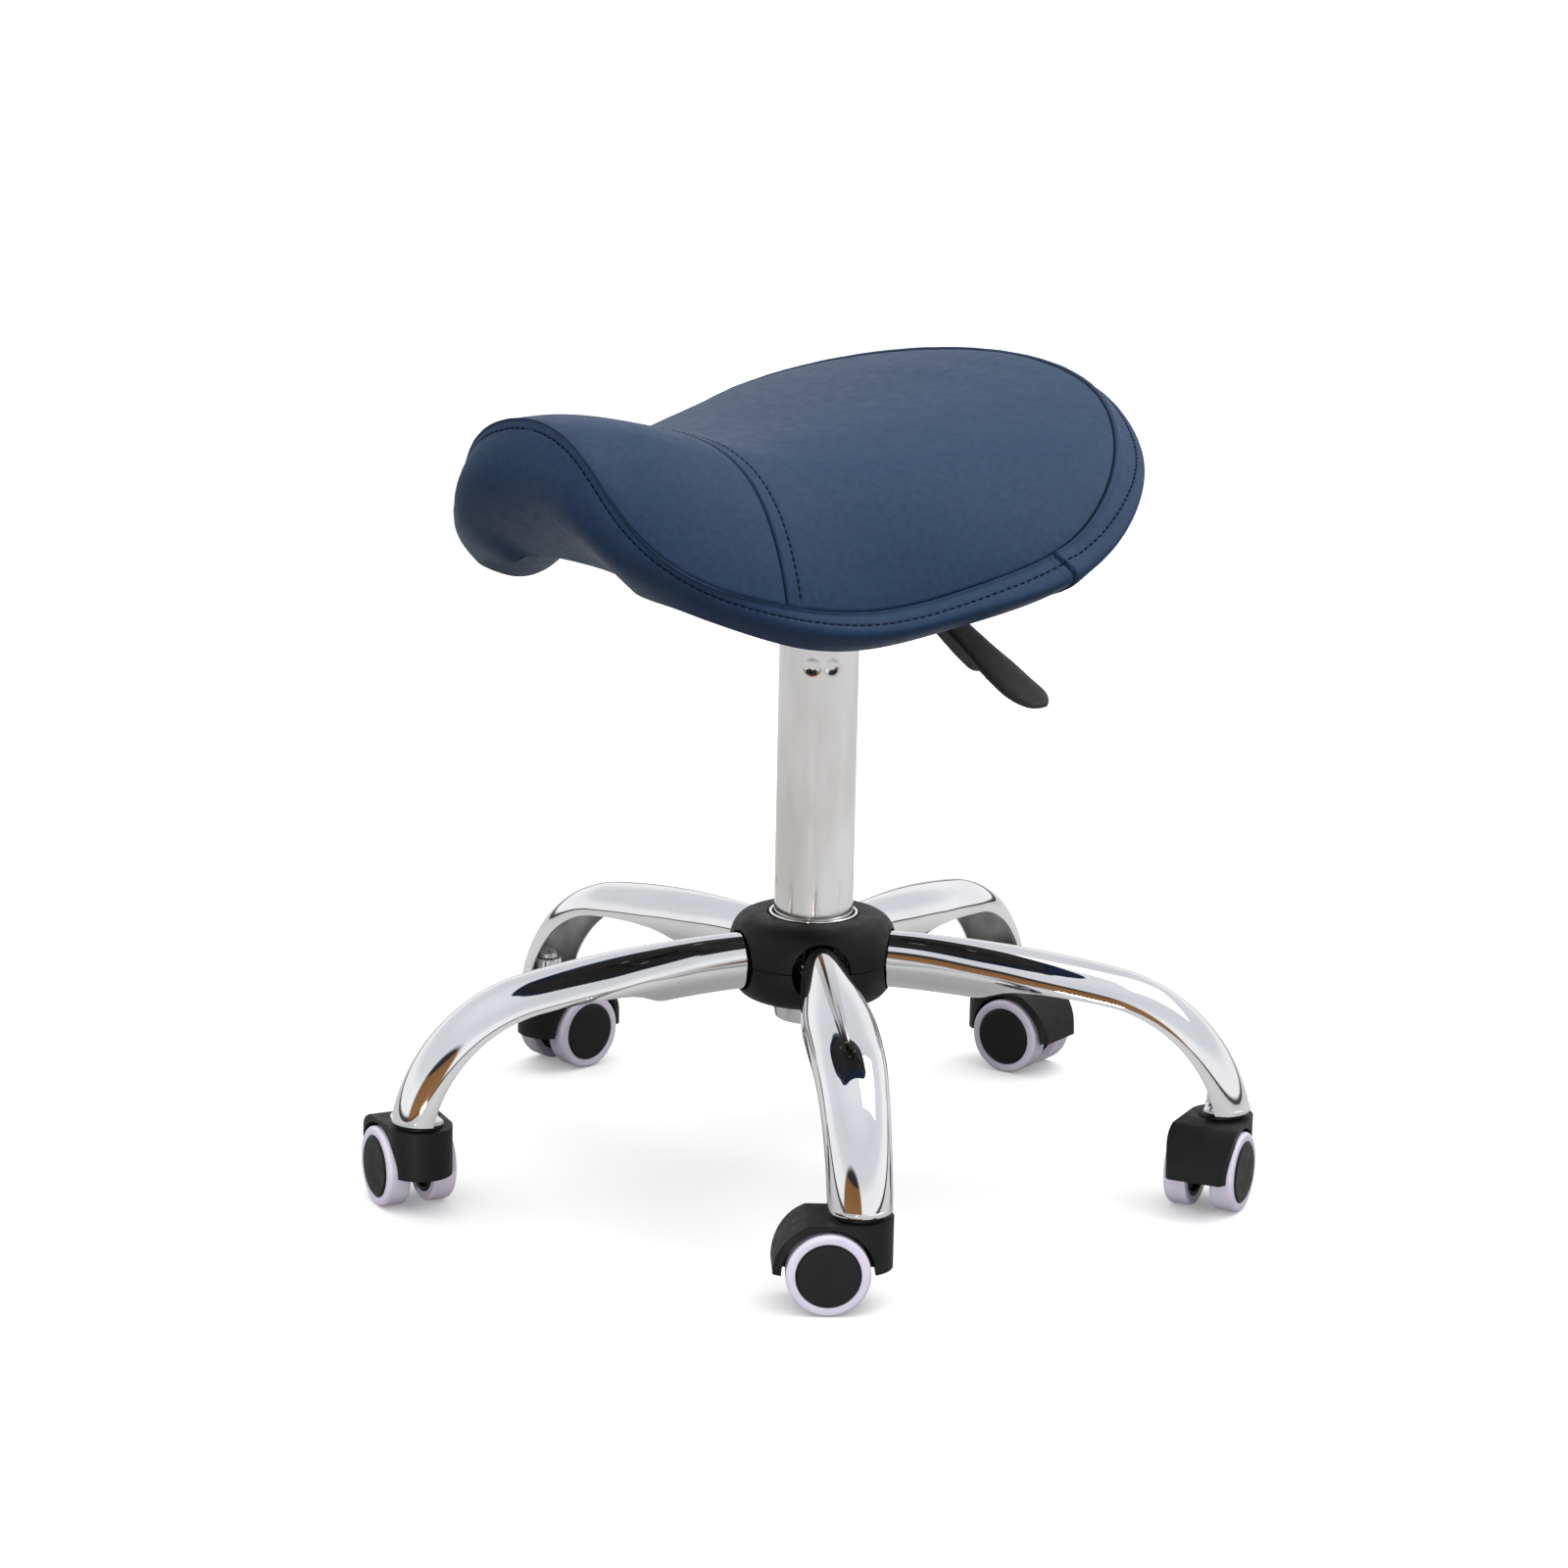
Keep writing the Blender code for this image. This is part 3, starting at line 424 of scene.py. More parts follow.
class Surface:
    """A Principled material whose inputs are fed by a few procedural layers."""

    def __init__(self, name, colour, roughness, metallic=0.0):
        self.material = bpy.data.materials.new(name)
        self.material.use_nodes = True
        self.tree = self.material.node_tree
        self.shader = self.tree.nodes["Principled BSDF"]
        self.shader.inputs["Base Color"].default_value = (*colour, 1.0)
        self.shader.inputs["Roughness"].default_value = roughness
        self.shader.inputs["Metallic"].default_value = metallic
        self.place = self.node("ShaderNodeTexCoord").outputs["Object"]
        self.normal = None

    def node(self, kind, **inputs):
        made = self.tree.nodes.new(kind)
        for name, value in inputs.items():
            made.inputs[name.replace("_", " ")].default_value = value
        return made

    def link(self, output, target):
        self.tree.links.new(output, target)

    def noise(self, scale, detail=3.0, stretch=None):
        """Fractal noise; scale is in cells for each metre."""
        made = self.node("ShaderNodeTexNoise", Scale=scale, Detail=detail)
        source = self.place
        if stretch:
            mapping = self.node("ShaderNodeMapping")
            mapping.inputs["Scale"].default_value = stretch
            self.link(source, mapping.inputs["Vector"])
            source = mapping.outputs["Vector"]
        self.link(source, made.inputs["Vector"])
        return made.outputs["Fac"]

    def cells(self, scale):
        made = self.node("ShaderNodeTexVoronoi", Scale=scale)
        made.feature = "DISTANCE_TO_EDGE"
        self.link(self.place, made.inputs["Vector"])
        return made.outputs["Distance"]

    def ranged(self, value, low, high, start=0.0, end=1.0):
        """Maps start..end to low..high."""
        made = self.node("ShaderNodeMapRange")
        made.inputs["From Min"].default_value = start
        made.inputs["From Max"].default_value = end
        made.inputs["To Min"].default_value = low
        made.inputs["To Max"].default_value = high
        self.link(value, made.inputs["Value"])
        return made.outputs["Result"]

    def tint(self, value, dark, light, start=0.35, end=0.65):
        """Base colour that runs from dark to light with a value."""
        ramp = self.node("ShaderNodeValToRGB")
        ramp.color_ramp.elements[0].position = start
        ramp.color_ramp.elements[1].position = end
        ramp.color_ramp.elements[0].color = (*dark, 1.0)
        ramp.color_ramp.elements[1].color = (*light, 1.0)
        self.link(value, ramp.inputs["Fac"])
        self.link(ramp.outputs["Color"], self.shader.inputs["Base Color"])

    def roughen(self, value, low, high, start=0.3, end=0.7):
        self.link(self.ranged(value, low, high, start, end), self.shader.inputs["Roughness"])

    def relief(self, value, height, strength=1.0):
        """Adds a layer of bump; height is in metres."""
        made = self.node("ShaderNodeBump", Strength=strength, Distance=height)
        self.link(value, made.inputs["Height"])
        if self.normal is not None:
            self.link(self.normal, made.inputs["Normal"])
        self.normal = made.outputs["Normal"]
        self.link(self.normal, self.shader.inputs["Normal"])


def navy_vinyl():
    skin = Surface("navy_vinyl", (0.020, 0.048, 0.105), 0.5)
    skin.tint(skin.noise(260.0, 5.0), (0.0175, 0.043, 0.096), (0.0215, 0.051, 0.110))
    skin.roughen(skin.noise(140.0, 5.0), 0.46, 0.55)
    skin.relief(skin.cells(820.0), 0.00012, 0.6)
    skin.relief(skin.noise(2400.0, 2.0), 0.00006, 0.6)
    skin.shader.inputs["Specular IOR Level"].default_value = 0.17
    return skin.material


def thread():
    yarn = Surface("thread", (0.006, 0.009, 0.020), 0.7)
    yarn.tint(yarn.noise(1800.0, 2.0), (0.003, 0.004, 0.009), (0.007, 0.010, 0.020))
    yarn.relief(yarn.noise(3000.0, 2.0, (1.0, 3.0, 1.0)), 0.0001, 0.6)
    yarn.shader.inputs["Specular IOR Level"].default_value = 0.08
    return yarn.material


def chrome():
    plate = Surface("chrome", (0.84, 0.84, 0.85), 0.06, 1.0)
    plate.tint(plate.noise(14.0, 3.0), (0.80, 0.795, 0.79), (0.88, 0.88, 0.89))
    plate.roughen(plate.noise(22.0, 6.0, (1.0, 1.0, 0.35)), 0.03, 0.12, 0.45, 0.85)
    plate.relief(plate.noise(16.0, 1.0), 0.0010, 0.16)
    plate.relief(plate.noise(420.0, 3.0), 0.00004, 0.10)
    return plate.material


def dull_chrome():
    """Inside of a pressed leg, where the plating is thin and unpolished."""
    plate = Surface("dull_chrome", (0.60, 0.60, 0.61), 0.42, 1.0)
    plate.tint(plate.noise(60.0, 4.0), (0.50, 0.495, 0.49), (0.66, 0.66, 0.665))
    plate.roughen(plate.noise(90.0, 4.0), 0.36, 0.50)
    plate.relief(plate.noise(300.0, 3.0), 0.00008, 0.4)
    return plate.material


def drawn_chrome():
    """Plated tube: lengthwise drawing lines, and faint warm smears from handling."""
    plate = Surface("drawn_chrome", (0.82, 0.81, 0.80), 0.16, 1.0)
    smears = plate.noise(22.0, 5.0, (1.0, 1.0, 0.28))
    plate.tint(smears, (0.70, 0.665, 0.635), (0.88, 0.875, 0.87), 0.36, 0.58)
    plate.roughen(plate.noise(30.0, 6.0, (1.0, 1.0, 0.25)), 0.10, 0.30, 0.35, 0.75)
    plate.relief(plate.noise(150.0, 2.0, (1.0, 1.0, 0.015)), 0.0004, 0.30)
    plate.relief(plate.noise(900.0, 2.0, (1.0, 1.0, 0.05)), 0.00005, 0.25)
    return plate.material


def zinc_steel():
    steel = Surface("zinc_steel", (0.55, 0.56, 0.58), 0.3, 1.0)
    steel.tint(steel.noise(160.0, 4.0), (0.46, 0.47, 0.49), (0.66, 0.67, 0.68))
    steel.roughen(steel.noise(90.0, 5.0), 0.22, 0.42)
    steel.relief(steel.noise(900.0, 3.0, (1.0, 1.0, 8.0)), 0.00006, 0.4)
    return steel.material


def black_plastic():
    plastic = Surface("black_plastic", (0.009, 0.0085, 0.0085), 0.5)
    plastic.tint(plastic.noise(70.0, 4.0), (0.0045, 0.0042, 0.0042), (0.008, 0.0076, 0.0076))
    plastic.roughen(plastic.noise(140.0, 5.0), 0.42, 0.58)
    plastic.relief(plastic.noise(1900.0, 3.0), 0.00007, 0.6)
    plastic.relief(plastic.noise(60.0, 2.0), 0.0003, 0.15)
    plastic.shader.inputs["Specular IOR Level"].default_value = 0.24
    return plastic.material


def lever_plastic():
    """The lever's plastic, worn a little paler than the covers'."""
    plastic = Surface("lever_plastic", (0.016, 0.0152, 0.0158), 0.55)
    plastic.tint(plastic.noise(90.0, 4.0), (0.013, 0.0123, 0.0128), (0.019, 0.0182, 0.0188))
    plastic.roughen(plastic.noise(140.0, 5.0), 0.48, 0.62)
    plastic.relief(plastic.noise(1500.0, 3.0), 0.0001, 0.6)
    return plastic.material


def black_enamel():
    enamel = Surface("black_enamel", (0.016, 0.016, 0.018), 0.3)
    enamel.tint(enamel.noise(40.0, 3.0), (0.012, 0.012, 0.014), (0.024, 0.024, 0.026))
    enamel.roughen(enamel.noise(110.0, 4.0), 0.24, 0.38)
    enamel.relief(enamel.noise(520.0, 2.0), 0.00008, 0.5)
    return enamel.material


def lilac_tread():
    tread = Surface("lilac_tread", (0.80, 0.74, 0.88), 0.42)
    tread.tint(tread.noise(45.0, 4.0), (0.77, 0.71, 0.85), (0.83, 0.77, 0.90))
    tread.roughen(tread.noise(130.0, 4.0), 0.36, 0.50)
    tread.relief(tread.noise(700.0, 3.0), 0.00005, 0.4)
    tread.shader.inputs["Subsurface Weight"].default_value = 0.25
    tread.shader.inputs["Subsurface Scale"].default_value = 0.003
    return tread.material


def plywood():
    wood = Surface("plywood", (0.020, 0.019, 0.018), 0.6)
    wood.tint(wood.noise(30.0, 6.0, (9.0, 0.8, 3.0)), (0.013, 0.012, 0.012), (0.032, 0.030, 0.028))
    wood.roughen(wood.noise(80.0, 4.0, (6.0, 1.0, 1.0)), 0.52, 0.70)
    wood.relief(wood.noise(240.0, 5.0, (8.0, 0.6, 2.0)), 0.0002, 0.5)
    return wood.material


def nylon():
    bush = Surface("nylon", (0.03, 0.03, 0.032), 0.42)
    bush.tint(bush.noise(90.0, 3.0), (0.022, 0.022, 0.024), (0.040, 0.040, 0.042))
    bush.relief(bush.noise(800.0, 2.0), 0.00005, 0.4)
    return bush.material


def foam():
    sponge = Surface("foam", (0.72, 0.66, 0.45), 0.9)
    sponge.tint(sponge.noise(120.0, 4.0), (0.64, 0.57, 0.36), (0.80, 0.74, 0.54))
    sponge.relief(sponge.cells(700.0), 0.0004, 0.8)
    return sponge.material


MATERIALS = {
    "navy_vinyl": navy_vinyl(),
    "thread": thread(),
    "lever_plastic": lever_plastic(),
    "chrome": chrome(),
    "drawn_chrome": drawn_chrome(),
    "dull_chrome": dull_chrome(),
    "zinc_steel": zinc_steel(),
    "black_plastic": black_plastic(),
    "black_enamel": black_enamel(),
    "lilac_tread": lilac_tread(),
    "plywood": plywood(),
    "nylon": nylon(),
    "foam": foam(),
}


# --- placing pieces -----------------------------------------------------------------------------


def piece(name, mesh, slot, body, replaced, at=COLUMN, turn=0.0, tilt=0.0):
    """Puts a piece in the frame, on its body, and hides the CAD nodes it stands for."""
    obj = bpy.data.objects.new(name, mesh)
    bpy.context.scene.collection.objects.link(obj)
    if not mesh.materials:
        mesh.materials.append(MATERIALS[slot])
    obj.matrix_world = Matrix.Translation(at) @ Matrix.Rotation(turn, 4, "Z") @ Matrix.Rotation(tilt, 4, "X")
    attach(obj, body)
    if replaced:
        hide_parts(*replaced)
    return obj


def repaint():
    """Gives every CAD node its procedural material, also those that stay hidden inside."""
    for entry in frame["record"]["subparts"]:
        node = frame["nodes"][entry["node"]]
        node.data.materials.clear()
        node.data.materials.append(MATERIALS[entry["material_slot"]])


# --- base ---------------------------------------------------------------------------------------


def ridge_path():
    """The leg's ridge as distance, height and downward slope, from the hub to the foot."""
    path = [(LEG_INNER_END, RIDGE_Z, 0.0)]
    start = math.radians(SHOULDER_DEG)
    for slope in np.linspace(0, start, 22, endpoint=False):
        drop = SHOULDER_RADIUS * (1 - math.cos(slope))
        path.append((ARC_START + SHOULDER_RADIUS * math.sin(slope), RIDGE_Z - drop, slope))
    centre_x = ARC_START + (SHOULDER_RADIUS - KNEE_RADIUS) * math.sin(start)
    centre_z = RIDGE_Z - SHOULDER_RADIUS + (SHOULDER_RADIUS - KNEE_RADIUS) * math.cos(start)
    for slope in np.linspace(start, math.radians(KNEE_END_DEG), 44):
        x = centre_x + KNEE_RADIUS * math.sin(slope)
        path.append((x, centre_z + KNEE_RADIUS * math.cos(slope), slope))
    return path


def leg_section(x):
    """Half width, wrap and half height of the leg at a distance, eased between its stations."""
    table = np.array(LEG_SECTIONS)
    near = np.linspace(x - 0.012, x + 0.012, 9)
    width = np.interp(near, table[:, 0], table[:, 1]).mean()
    wrap = np.interp(near, table[:, 0], table[:, 2]).mean()
    height = np.interp(x, table[[0, -1], 0], LEG_HALF_HEIGHT)
    return width, wrap, height


def leg_channel():
    """Pressed sheet: a closed oval at the hub that opens to a channel, with rolled sheet edges."""
    half = 34
    shares = np.linspace(-1, 1, 2 * half + 1)
    rim = (0.0, 0.25, 0.5, 0.75, 1.0)
    points = []
    path = ridge_path()
    for x, z, slope in path:
        width, wrap, height = leg_section(x)

        def at(share, inward):
            angle = math.radians(wrap) * share
            down = inward + (height - inward) * (1 - math.cos(angle))
            lateral = (width - inward) * math.sin(angle)
            return (x - down * math.sin(slope), lateral, z - down * math.cos(slope))

        loop = [at(share, 0.0) for share in shares]
        loop += [at(1 + 0.008 * math.sin(math.pi * t), LEG_WALL * t) for t in rim[1:-1]]
        loop += [at(share, LEG_WALL) for share in shares[::-1]]
        loop += [at(-1 - 0.008 * math.sin(math.pi * t), LEG_WALL * t) for t in rim[-2:0:-1]]
        points += loop
    ring = len(points) // len(path)
    faces = grid_faces(len(path), ring)
    faces.append(tuple(range(ring)))
    faces.append(tuple(range(len(points) - 1, len(points) - 1 - ring, -1)))
    mesh = as_mesh("leg", points, faces)
    mesh.materials.append(MATERIALS["chrome"])
    mesh.materials.append(MATERIALS["dull_chrome"])
    inside = range(len(shares) + len(rim) - 3, 2 * len(shares) + len(rim) - 3)
    for polygon in mesh.polygons:
        polygon.material_index = int(polygon.index % ring in inside)
    work = bmesh.new()
    work.from_mesh(mesh)
    everything = work.verts[:] + work.edges[:] + work.faces[:]
    bmesh.ops.bisect_plane(
        work, geom=everything, plane_co=(0, 0, LEG_FOOT), plane_no=(0, 0, -1), clear_outer=True
    )
    bmesh.ops.holes_fill(work, edges=[edge for edge in work.edges if edge.is_boundary])
    bmesh.ops.recalc_face_normals(work, faces=work.faces)
    work.to_mesh(mesh)
    work.free()
    mesh.shade_smooth()
    mesh.set_sharp_from_angle(angle=math.radians(SHARP_DEG))
    return mesh


def stem_socket(circle):
    """The leg's foot plate with its welded socket, bored for the caster's stem."""
    low = LEG_FOOT + 0.0004
    bore = STEM_RADIUS + GAP
    outline = (
        (bore, low),
        (FOOT_PLATE_RADIUS, low),
        (FOOT_PLATE_RADIUS, low + 0.0025),
        (SOCKET_RADIUS + 0.0016, low + 0.0025),
        (SOCKET_RADIUS, low + 0.0044),
        (SOCKET_RADIUS, SOCKET_TOP),
        (bore, SOCKET_TOP),
    )
    rounding = (0.0004, 0.0006, 0.0006, 0.001, 0.001, 0.0008, 0.0004)
    plate = moved(lathe("socket", rounded(outline, rounding), 64), Matrix.Translation((circle, 0, 0)))
    cut_end = circle - SOCKET_RADIUS
    inner_side = prism([(0.20, 0.05), (cut_end, 0.05), (cut_end, 0.062), (0.20, 0.062)], -0.03, 0.03)
    return combined("socket", plate, ("DIFFERENCE", inner_side))


def hub_cover(name, outline, radius, leg_turns):
    """Half of the moulded hub cover, with five arched openings round the legs."""
    middle = RIDGE_Z - LEG_HALF_HEIGHT[0]
    circle = arc((0, 0), 1.0, 0, 360, 64)[:-1]
    oval = [(OPENING_HALF_WIDTH * x, middle + OPENING_HALF_HEIGHT * z) for x, z in circle]
    steps = []
    for turn in leg_turns:
        opening = prism(oval, 0.45 * COVER_RADIUS, 1.2 * COVER_RADIUS)
        steps.append(("DIFFERENCE", moved(opening, Matrix.Rotation(turn - math.pi / 2, 4, "Z"))))
    return combined(name, lathe(name, rounded(outline, radius), 128), *steps)


def build_base(stems):
    turns = [math.atan2(stem.y - COLUMN.y, stem.x - COLUMN.x) for stem in stems]
    circle = math.hypot(stems[0].x - COLUMN.x, stems[0].y - COLUMN.y)
    channel = leg_channel()
    socket = stem_socket(circle)
    for number, turn in enumerate(turns, 1):
        piece(f"leg_shell_{number}", channel, "chrome", "base", [f"leg_{number}"], turn=turn)
        piece(f"leg_socket_{number}", socket, "chrome", "base", [], turn=turn)
    inner = HUB_RADIUS + 0.001
    wall = COVER_RADIUS - COVER_WALL
    upper = [
        (inner, HUB_TOP - GAP), (0.040, 0.1656), (0.0475, 0.1625), (0.0518, 0.1555), (COVER_RADIUS, 0.1470),
        (COVER_RADIUS, COVER_SPLIT + GAP), (wall, COVER_SPLIT + GAP), (wall, 0.1470), (0.0455, 0.1605),
        (inner, HUB_TOP - 0.0028),
    ]
    upper_rounding = [0.0008, 0.02, 0.02, 0.02, 0.02, 0.0006, 0.0004, 0.01, 0.01, 0.0004]
    under = TUBE_RADIUS + 0.0012
    lower = [
        (COVER_RADIUS, COVER_SPLIT), (0.0526, 0.1300), (0.0500, 0.1205), (0.0445, 0.1135),
        (under, COVER_BOTTOM), (under, COVER_BOTTOM + 0.0025), (0.0430, 0.1156), (0.0480, 0.1218),
        (wall, COVER_SPLIT),
    ]
    lower_rounding = [0.0006, 0.02, 0.02, 0.02, 0.0008, 0.0004, 0.01, 0.01, 0.0004]
    for half, outline, rounding in (("upper", upper, upper_rounding), ("lower", lower, lower_rounding)):
        cover = hub_cover(f"cover_{half}", outline, rounding, turns)
        softened(piece(f"cover_{half}", cover, "black_plastic", "base", [f"hub_cover_{half}"]), 0.0005, 2)
    bore = TUBE_RADIUS + 0.0004
    collar_low = HUB_TOP - 0.006
    collar_top = HUB_TOP + 0.0007
    core = ring_outline(bore, HUB_RADIUS, HUB_BOTTOM, collar_low)
    # painted shade: the sleeve under the chrome collar is given black enamel, so where it shows through the
    # cover's openings it reads as the shadow inside the hub
    piece("hub_sleeve_painted_shade", lathe("hub_sleeve_painted_shade", rounded(core, 0.0008), 96), "black_enamel", "base", ["hub_core"])
    ring = ring_outline(bore + 0.0009, HUB_RADIUS, collar_low, collar_top)
    piece("hub_collar", lathe("hub_collar", rounded(ring, 0.0009), 128), "chrome", "base", [])


# --- column -------------------------------------------------------------------------------------


def stand_tube():
    """Chrome tube with a drawn-in foot, two pressed dimples and a short seam slit at its foot."""
    low, top = TUBE_LOW, TUBE_TOP
    heights = [low, low + 0.0006, low + 0.002, low + 0.006, low + 0.011, low + 0.014, low + 0.020]
    heights += list(np.linspace(low + 0.03, DIMPLE_Z - 0.009, 24))
    heights += list(np.linspace(DIMPLE_Z - 0.008, DIMPLE_Z + 0.008, 33))
    heights += list(np.linspace(DIMPLE_Z + 0.010, top - 0.0008, 6)) + [top]
    steps = 288
    points = []
    for z in heights:
        drawn = 0.0018 * max(0.0, 1 - (z - low) / 0.014) ** 1.3
        edge = 0.0006 if z in (low, top) else 0.0
        for k in range(steps):
            angle = 2 * math.pi * k / steps
            radius = TUBE_RADIUS - drawn - edge
            for side in (-1, 1):
                centre = math.radians(DIMPLE_DEG + side * DIMPLE_HALF_ANGLE)
                across = TUBE_RADIUS * (math.remainder(angle - centre, 2 * math.pi))
                away = math.hypot(across, z - DIMPLE_Z) / DIMPLE_RADIUS
                radius -= DIMPLE_DEPTH * math.exp(-(away**4))
            slit = abs(TUBE_RADIUS * math.remainder(angle - math.radians(DIMPLE_DEG), 2 * math.pi))
            if slit < 0.0004 and z < low + 0.012:
                radius -= 0.0012
            points.append((radius * math.cos(angle), radius * math.sin(angle), z))
    foot_bore = 0.0212
    inner = (
        (TUBE_BORE, top), (TUBE_BORE, TUBE_FLOOR_TOP), (TUBE_FLOOR_HOLE, TUBE_FLOOR_TOP),
        (TUBE_FLOOR_HOLE, TUBE_FLOOR_LOW), (foot_bore, TUBE_FLOOR_LOW), (foot_bore, low),
    )
    for radius, z in inner:
        for k in range(steps):
            angle = 2 * math.pi * k / steps
            points.append((radius * math.cos(angle), radius * math.sin(angle), z))
    return as_mesh("stand_tube", points, grid_faces(len(heights) + len(inner), steps, wrap_rows=True))


def build_column():
    piece("stand_tube", stand_tube(), "drawn_chrome", "base", ["outer_tube"])
    bore = 0.0144
    wide = TUBE_RADIUS - 0.0004
    snug = TUBE_BORE - 0.0004
    flange_low = TUBE_TOP + GAP
    flange_top = TUBE_TOP + 0.003
    bush = (
        (bore, 0.272), (snug, 0.272), (snug, flange_low),
        (wide, flange_low), (wide, flange_top), (bore, flange_top),
    )
    piece("bush", lathe("bush", rounded(bush, 0.0008)), "nylon", "base", ["guide_bush"])
    race_low = TUBE_FLOOR_TOP + GAP
    race = ring_outline(0.0059, 0.012, race_low, race_low + 0.007)
    piece("bearing", lathe("bearing", rounded(race, 0.0008)), "zinc_steel", "base", ["thrust_bearing"])
    collar = race_low + 0.0073
    rod = (
        (0, 0.0985), (0.005, 0.0985), (0.005, 0.1000), (0.0043, 0.1000), (0.0043, 0.1022), (0.005, 0.1022),
        (0.005, collar), (0.009, collar), (0.009, collar + 0.003), (0.005, collar + 0.003), (0.005, 0.325),
        (0.0118, 0.325), (0.0118, 0.340), (0, 0.340),
    )
    piece("rod", solid_turned("rod", rod, 0.0003, 64), "zinc_steel", "gas_rod", ["piston_rod"])
    clip = lathe("clip", rounded(ring_outline(0.0046, 0.0095, 0.1003, 0.1019), 0.0003), 64)
    slot = prism([(0.0, 0.09), (0.02, 0.09), (0.02, 0.11), (0.0, 0.11)], -0.0022, 0.0022)
    ring = combined("clip", clip, ("DIFFERENCE", slot))
    piece("clip", ring, "zinc_steel", "gas_rod", ["retaining_clip"])
    cylinder = (
        (0.014, 0.135), (0.014, 0.372), (0.0134, 0.4035), (0.0036, 0.4035), (0.0036, 0.3985),
        (0.0124, 0.3985), (0.0124, 0.141), (0.0056, 0.141), (0.0056, 0.135),
    )
    tube = lathe("pressure_tube", rounded(cylinder, 0.0008))
    piece("pressure_tube", tube, "black_enamel", "seat", ["gas_cylinder"])
    pin = solid_turned("valve_pin", ring_outline(0, 0.003, 0.380, 0.4085), 0.0006, 48)
    piece("valve_pin", pin, "zinc_steel", "release_pin", ["release_pin"])


# --- casters ------------------------------------------------------------------------------------


def hood_mesh(trail):
    """Twin-wheel hood in its own frame: the stem at the origin and the axle at +X."""
    axle = (trail, WHEEL_RADIUS)
    crown = math.degrees(math.asin((HOOD_TOP - WHEEL_RADIUS) / HOOD_RADIUS))
    side_view = arc(axle, HOOD_RADIUS, 0, crown, 28)
    side_view += [(-HOOD_STEM_RADIUS, HOOD_TOP), (-HOOD_STEM_RADIUS, HOOD_BOTTOM)]
    side_view += [(trail + HOOD_RADIUS, HOOD_BOTTOM)]
    rear = trail + HOOD_RADIUS + 0.001
    wide = HOOD_HALF_WIDTH
    quarter = np.linspace(0, math.pi / 2, 10)
    curve = [(rear - 0.016 * (1 - math.cos(a)), wide * (0.62 + 0.38 * math.sin(a))) for a in quarter]
    plan = curve + arc((0, 0), HOOD_STEM_RADIUS, 90, 270, 40) + [(x, -y) for x, y in reversed(curve)]
    steps = [("INTERSECT", prism(plan, 0.0, 0.06, upright=True))]
    bay = [(trail + BAY_RADIUS, -0.01), *arc(axle, BAY_RADIUS, 0, 180, 56), (trail - BAY_RADIUS, -0.01)]
    steps.append(("DIFFERENCE", prism(bay, WEB_HALF, 0.03)))
    steps.append(("DIFFERENCE", prism(bay, -0.03, -WEB_HALF)))
    steps.append(("UNION", laid(lathe("disc", ring_outline(0, 0.010, -0.0055, 0.0055), 64), *axle)))
    collar_low = HOOD_TOP - 0.002
    collar_top = HOOD_TOP + 0.0011
    steps.append(("UNION", lathe("boss", ring_outline(0, 0.0070, 0.030, collar_low), 48)))
    collar = ((0, collar_low), (0.0150, collar_low), (0.0142, collar_top), (0, collar_top))
    steps.append(("UNION", lathe("collar", collar, 64)))
    steps.append(("DIFFERENCE", lathe("bore", ring_outline(0, STEM_NECK + GAP, 0.01, 0.07), 48)))
    hole = ring_outline(0, AXLE_RADIUS + GAP, -0.02, 0.02)
    steps.append(("DIFFERENCE", laid(lathe("hole", hole, 48), *axle)))
    return combined("hood", prism(side_view, -0.03, 0.03), *steps)


def stem_mesh():
    """Stem with its swivel neck, collar, socket shank and top knob."""
    low = HOOD_TOP + 0.0014
    outline = (
        (0, 0.0315), (STEM_NECK, 0.0315), (STEM_NECK, low), (0.0088, low), (0.0088, LEG_FOOT - GAP),
        (STEM_RADIUS, LEG_FOOT - GAP), (STEM_RADIUS, SOCKET_TOP + GAP), (0.0070, SOCKET_TOP + GAP),
        (0.0062, SOCKET_TOP + 0.0035), (0.0045, SOCKET_TOP + 0.0055), (0, SOCKET_TOP + 0.0055),
    )
    return solid_turned("stem", outline, 0.0006, 64)


def tyre_mesh():
    """Tread ring about Z, with rounded shoulders and a fine bead against the wheel's face."""
    inner = WHEEL_RADIUS - TYRE_DEPTH
    outline = ring_outline(inner, WHEEL_RADIUS, WHEEL_INNER, TYRE_OUTER)
    return lathe("tyre", rounded(outline, (0.0005, 0.0022, 0.0040, 0.0008), 9), 128)


def disc_mesh():
    """Moulded wheel centre about Z: a flat face with a turned-down rim and a recessed back."""
    rim = WHEEL_RADIUS - TYRE_DEPTH - 0.0003
    bore = AXLE_RADIUS + GAP
    back = WHEEL_INNER + 0.0002
    recess = WHEEL_INNER + 0.0040
    socket = AXLE_HALF + 0.0004
    outline = (
        (0, DISC_OUTER - 0.0003), (0.0040, DISC_OUTER - 0.0002), (rim - 0.0012, DISC_OUTER),
        (rim, DISC_OUTER - 0.0010), (rim, back), (rim - 0.0022, back), (rim - 0.0026, recess),
        (0.0072, recess), (0.0066, back), (bore, back), (bore, socket), (0, socket),
    )
    return solid_turned("disc", outline, 0.0007, 112)


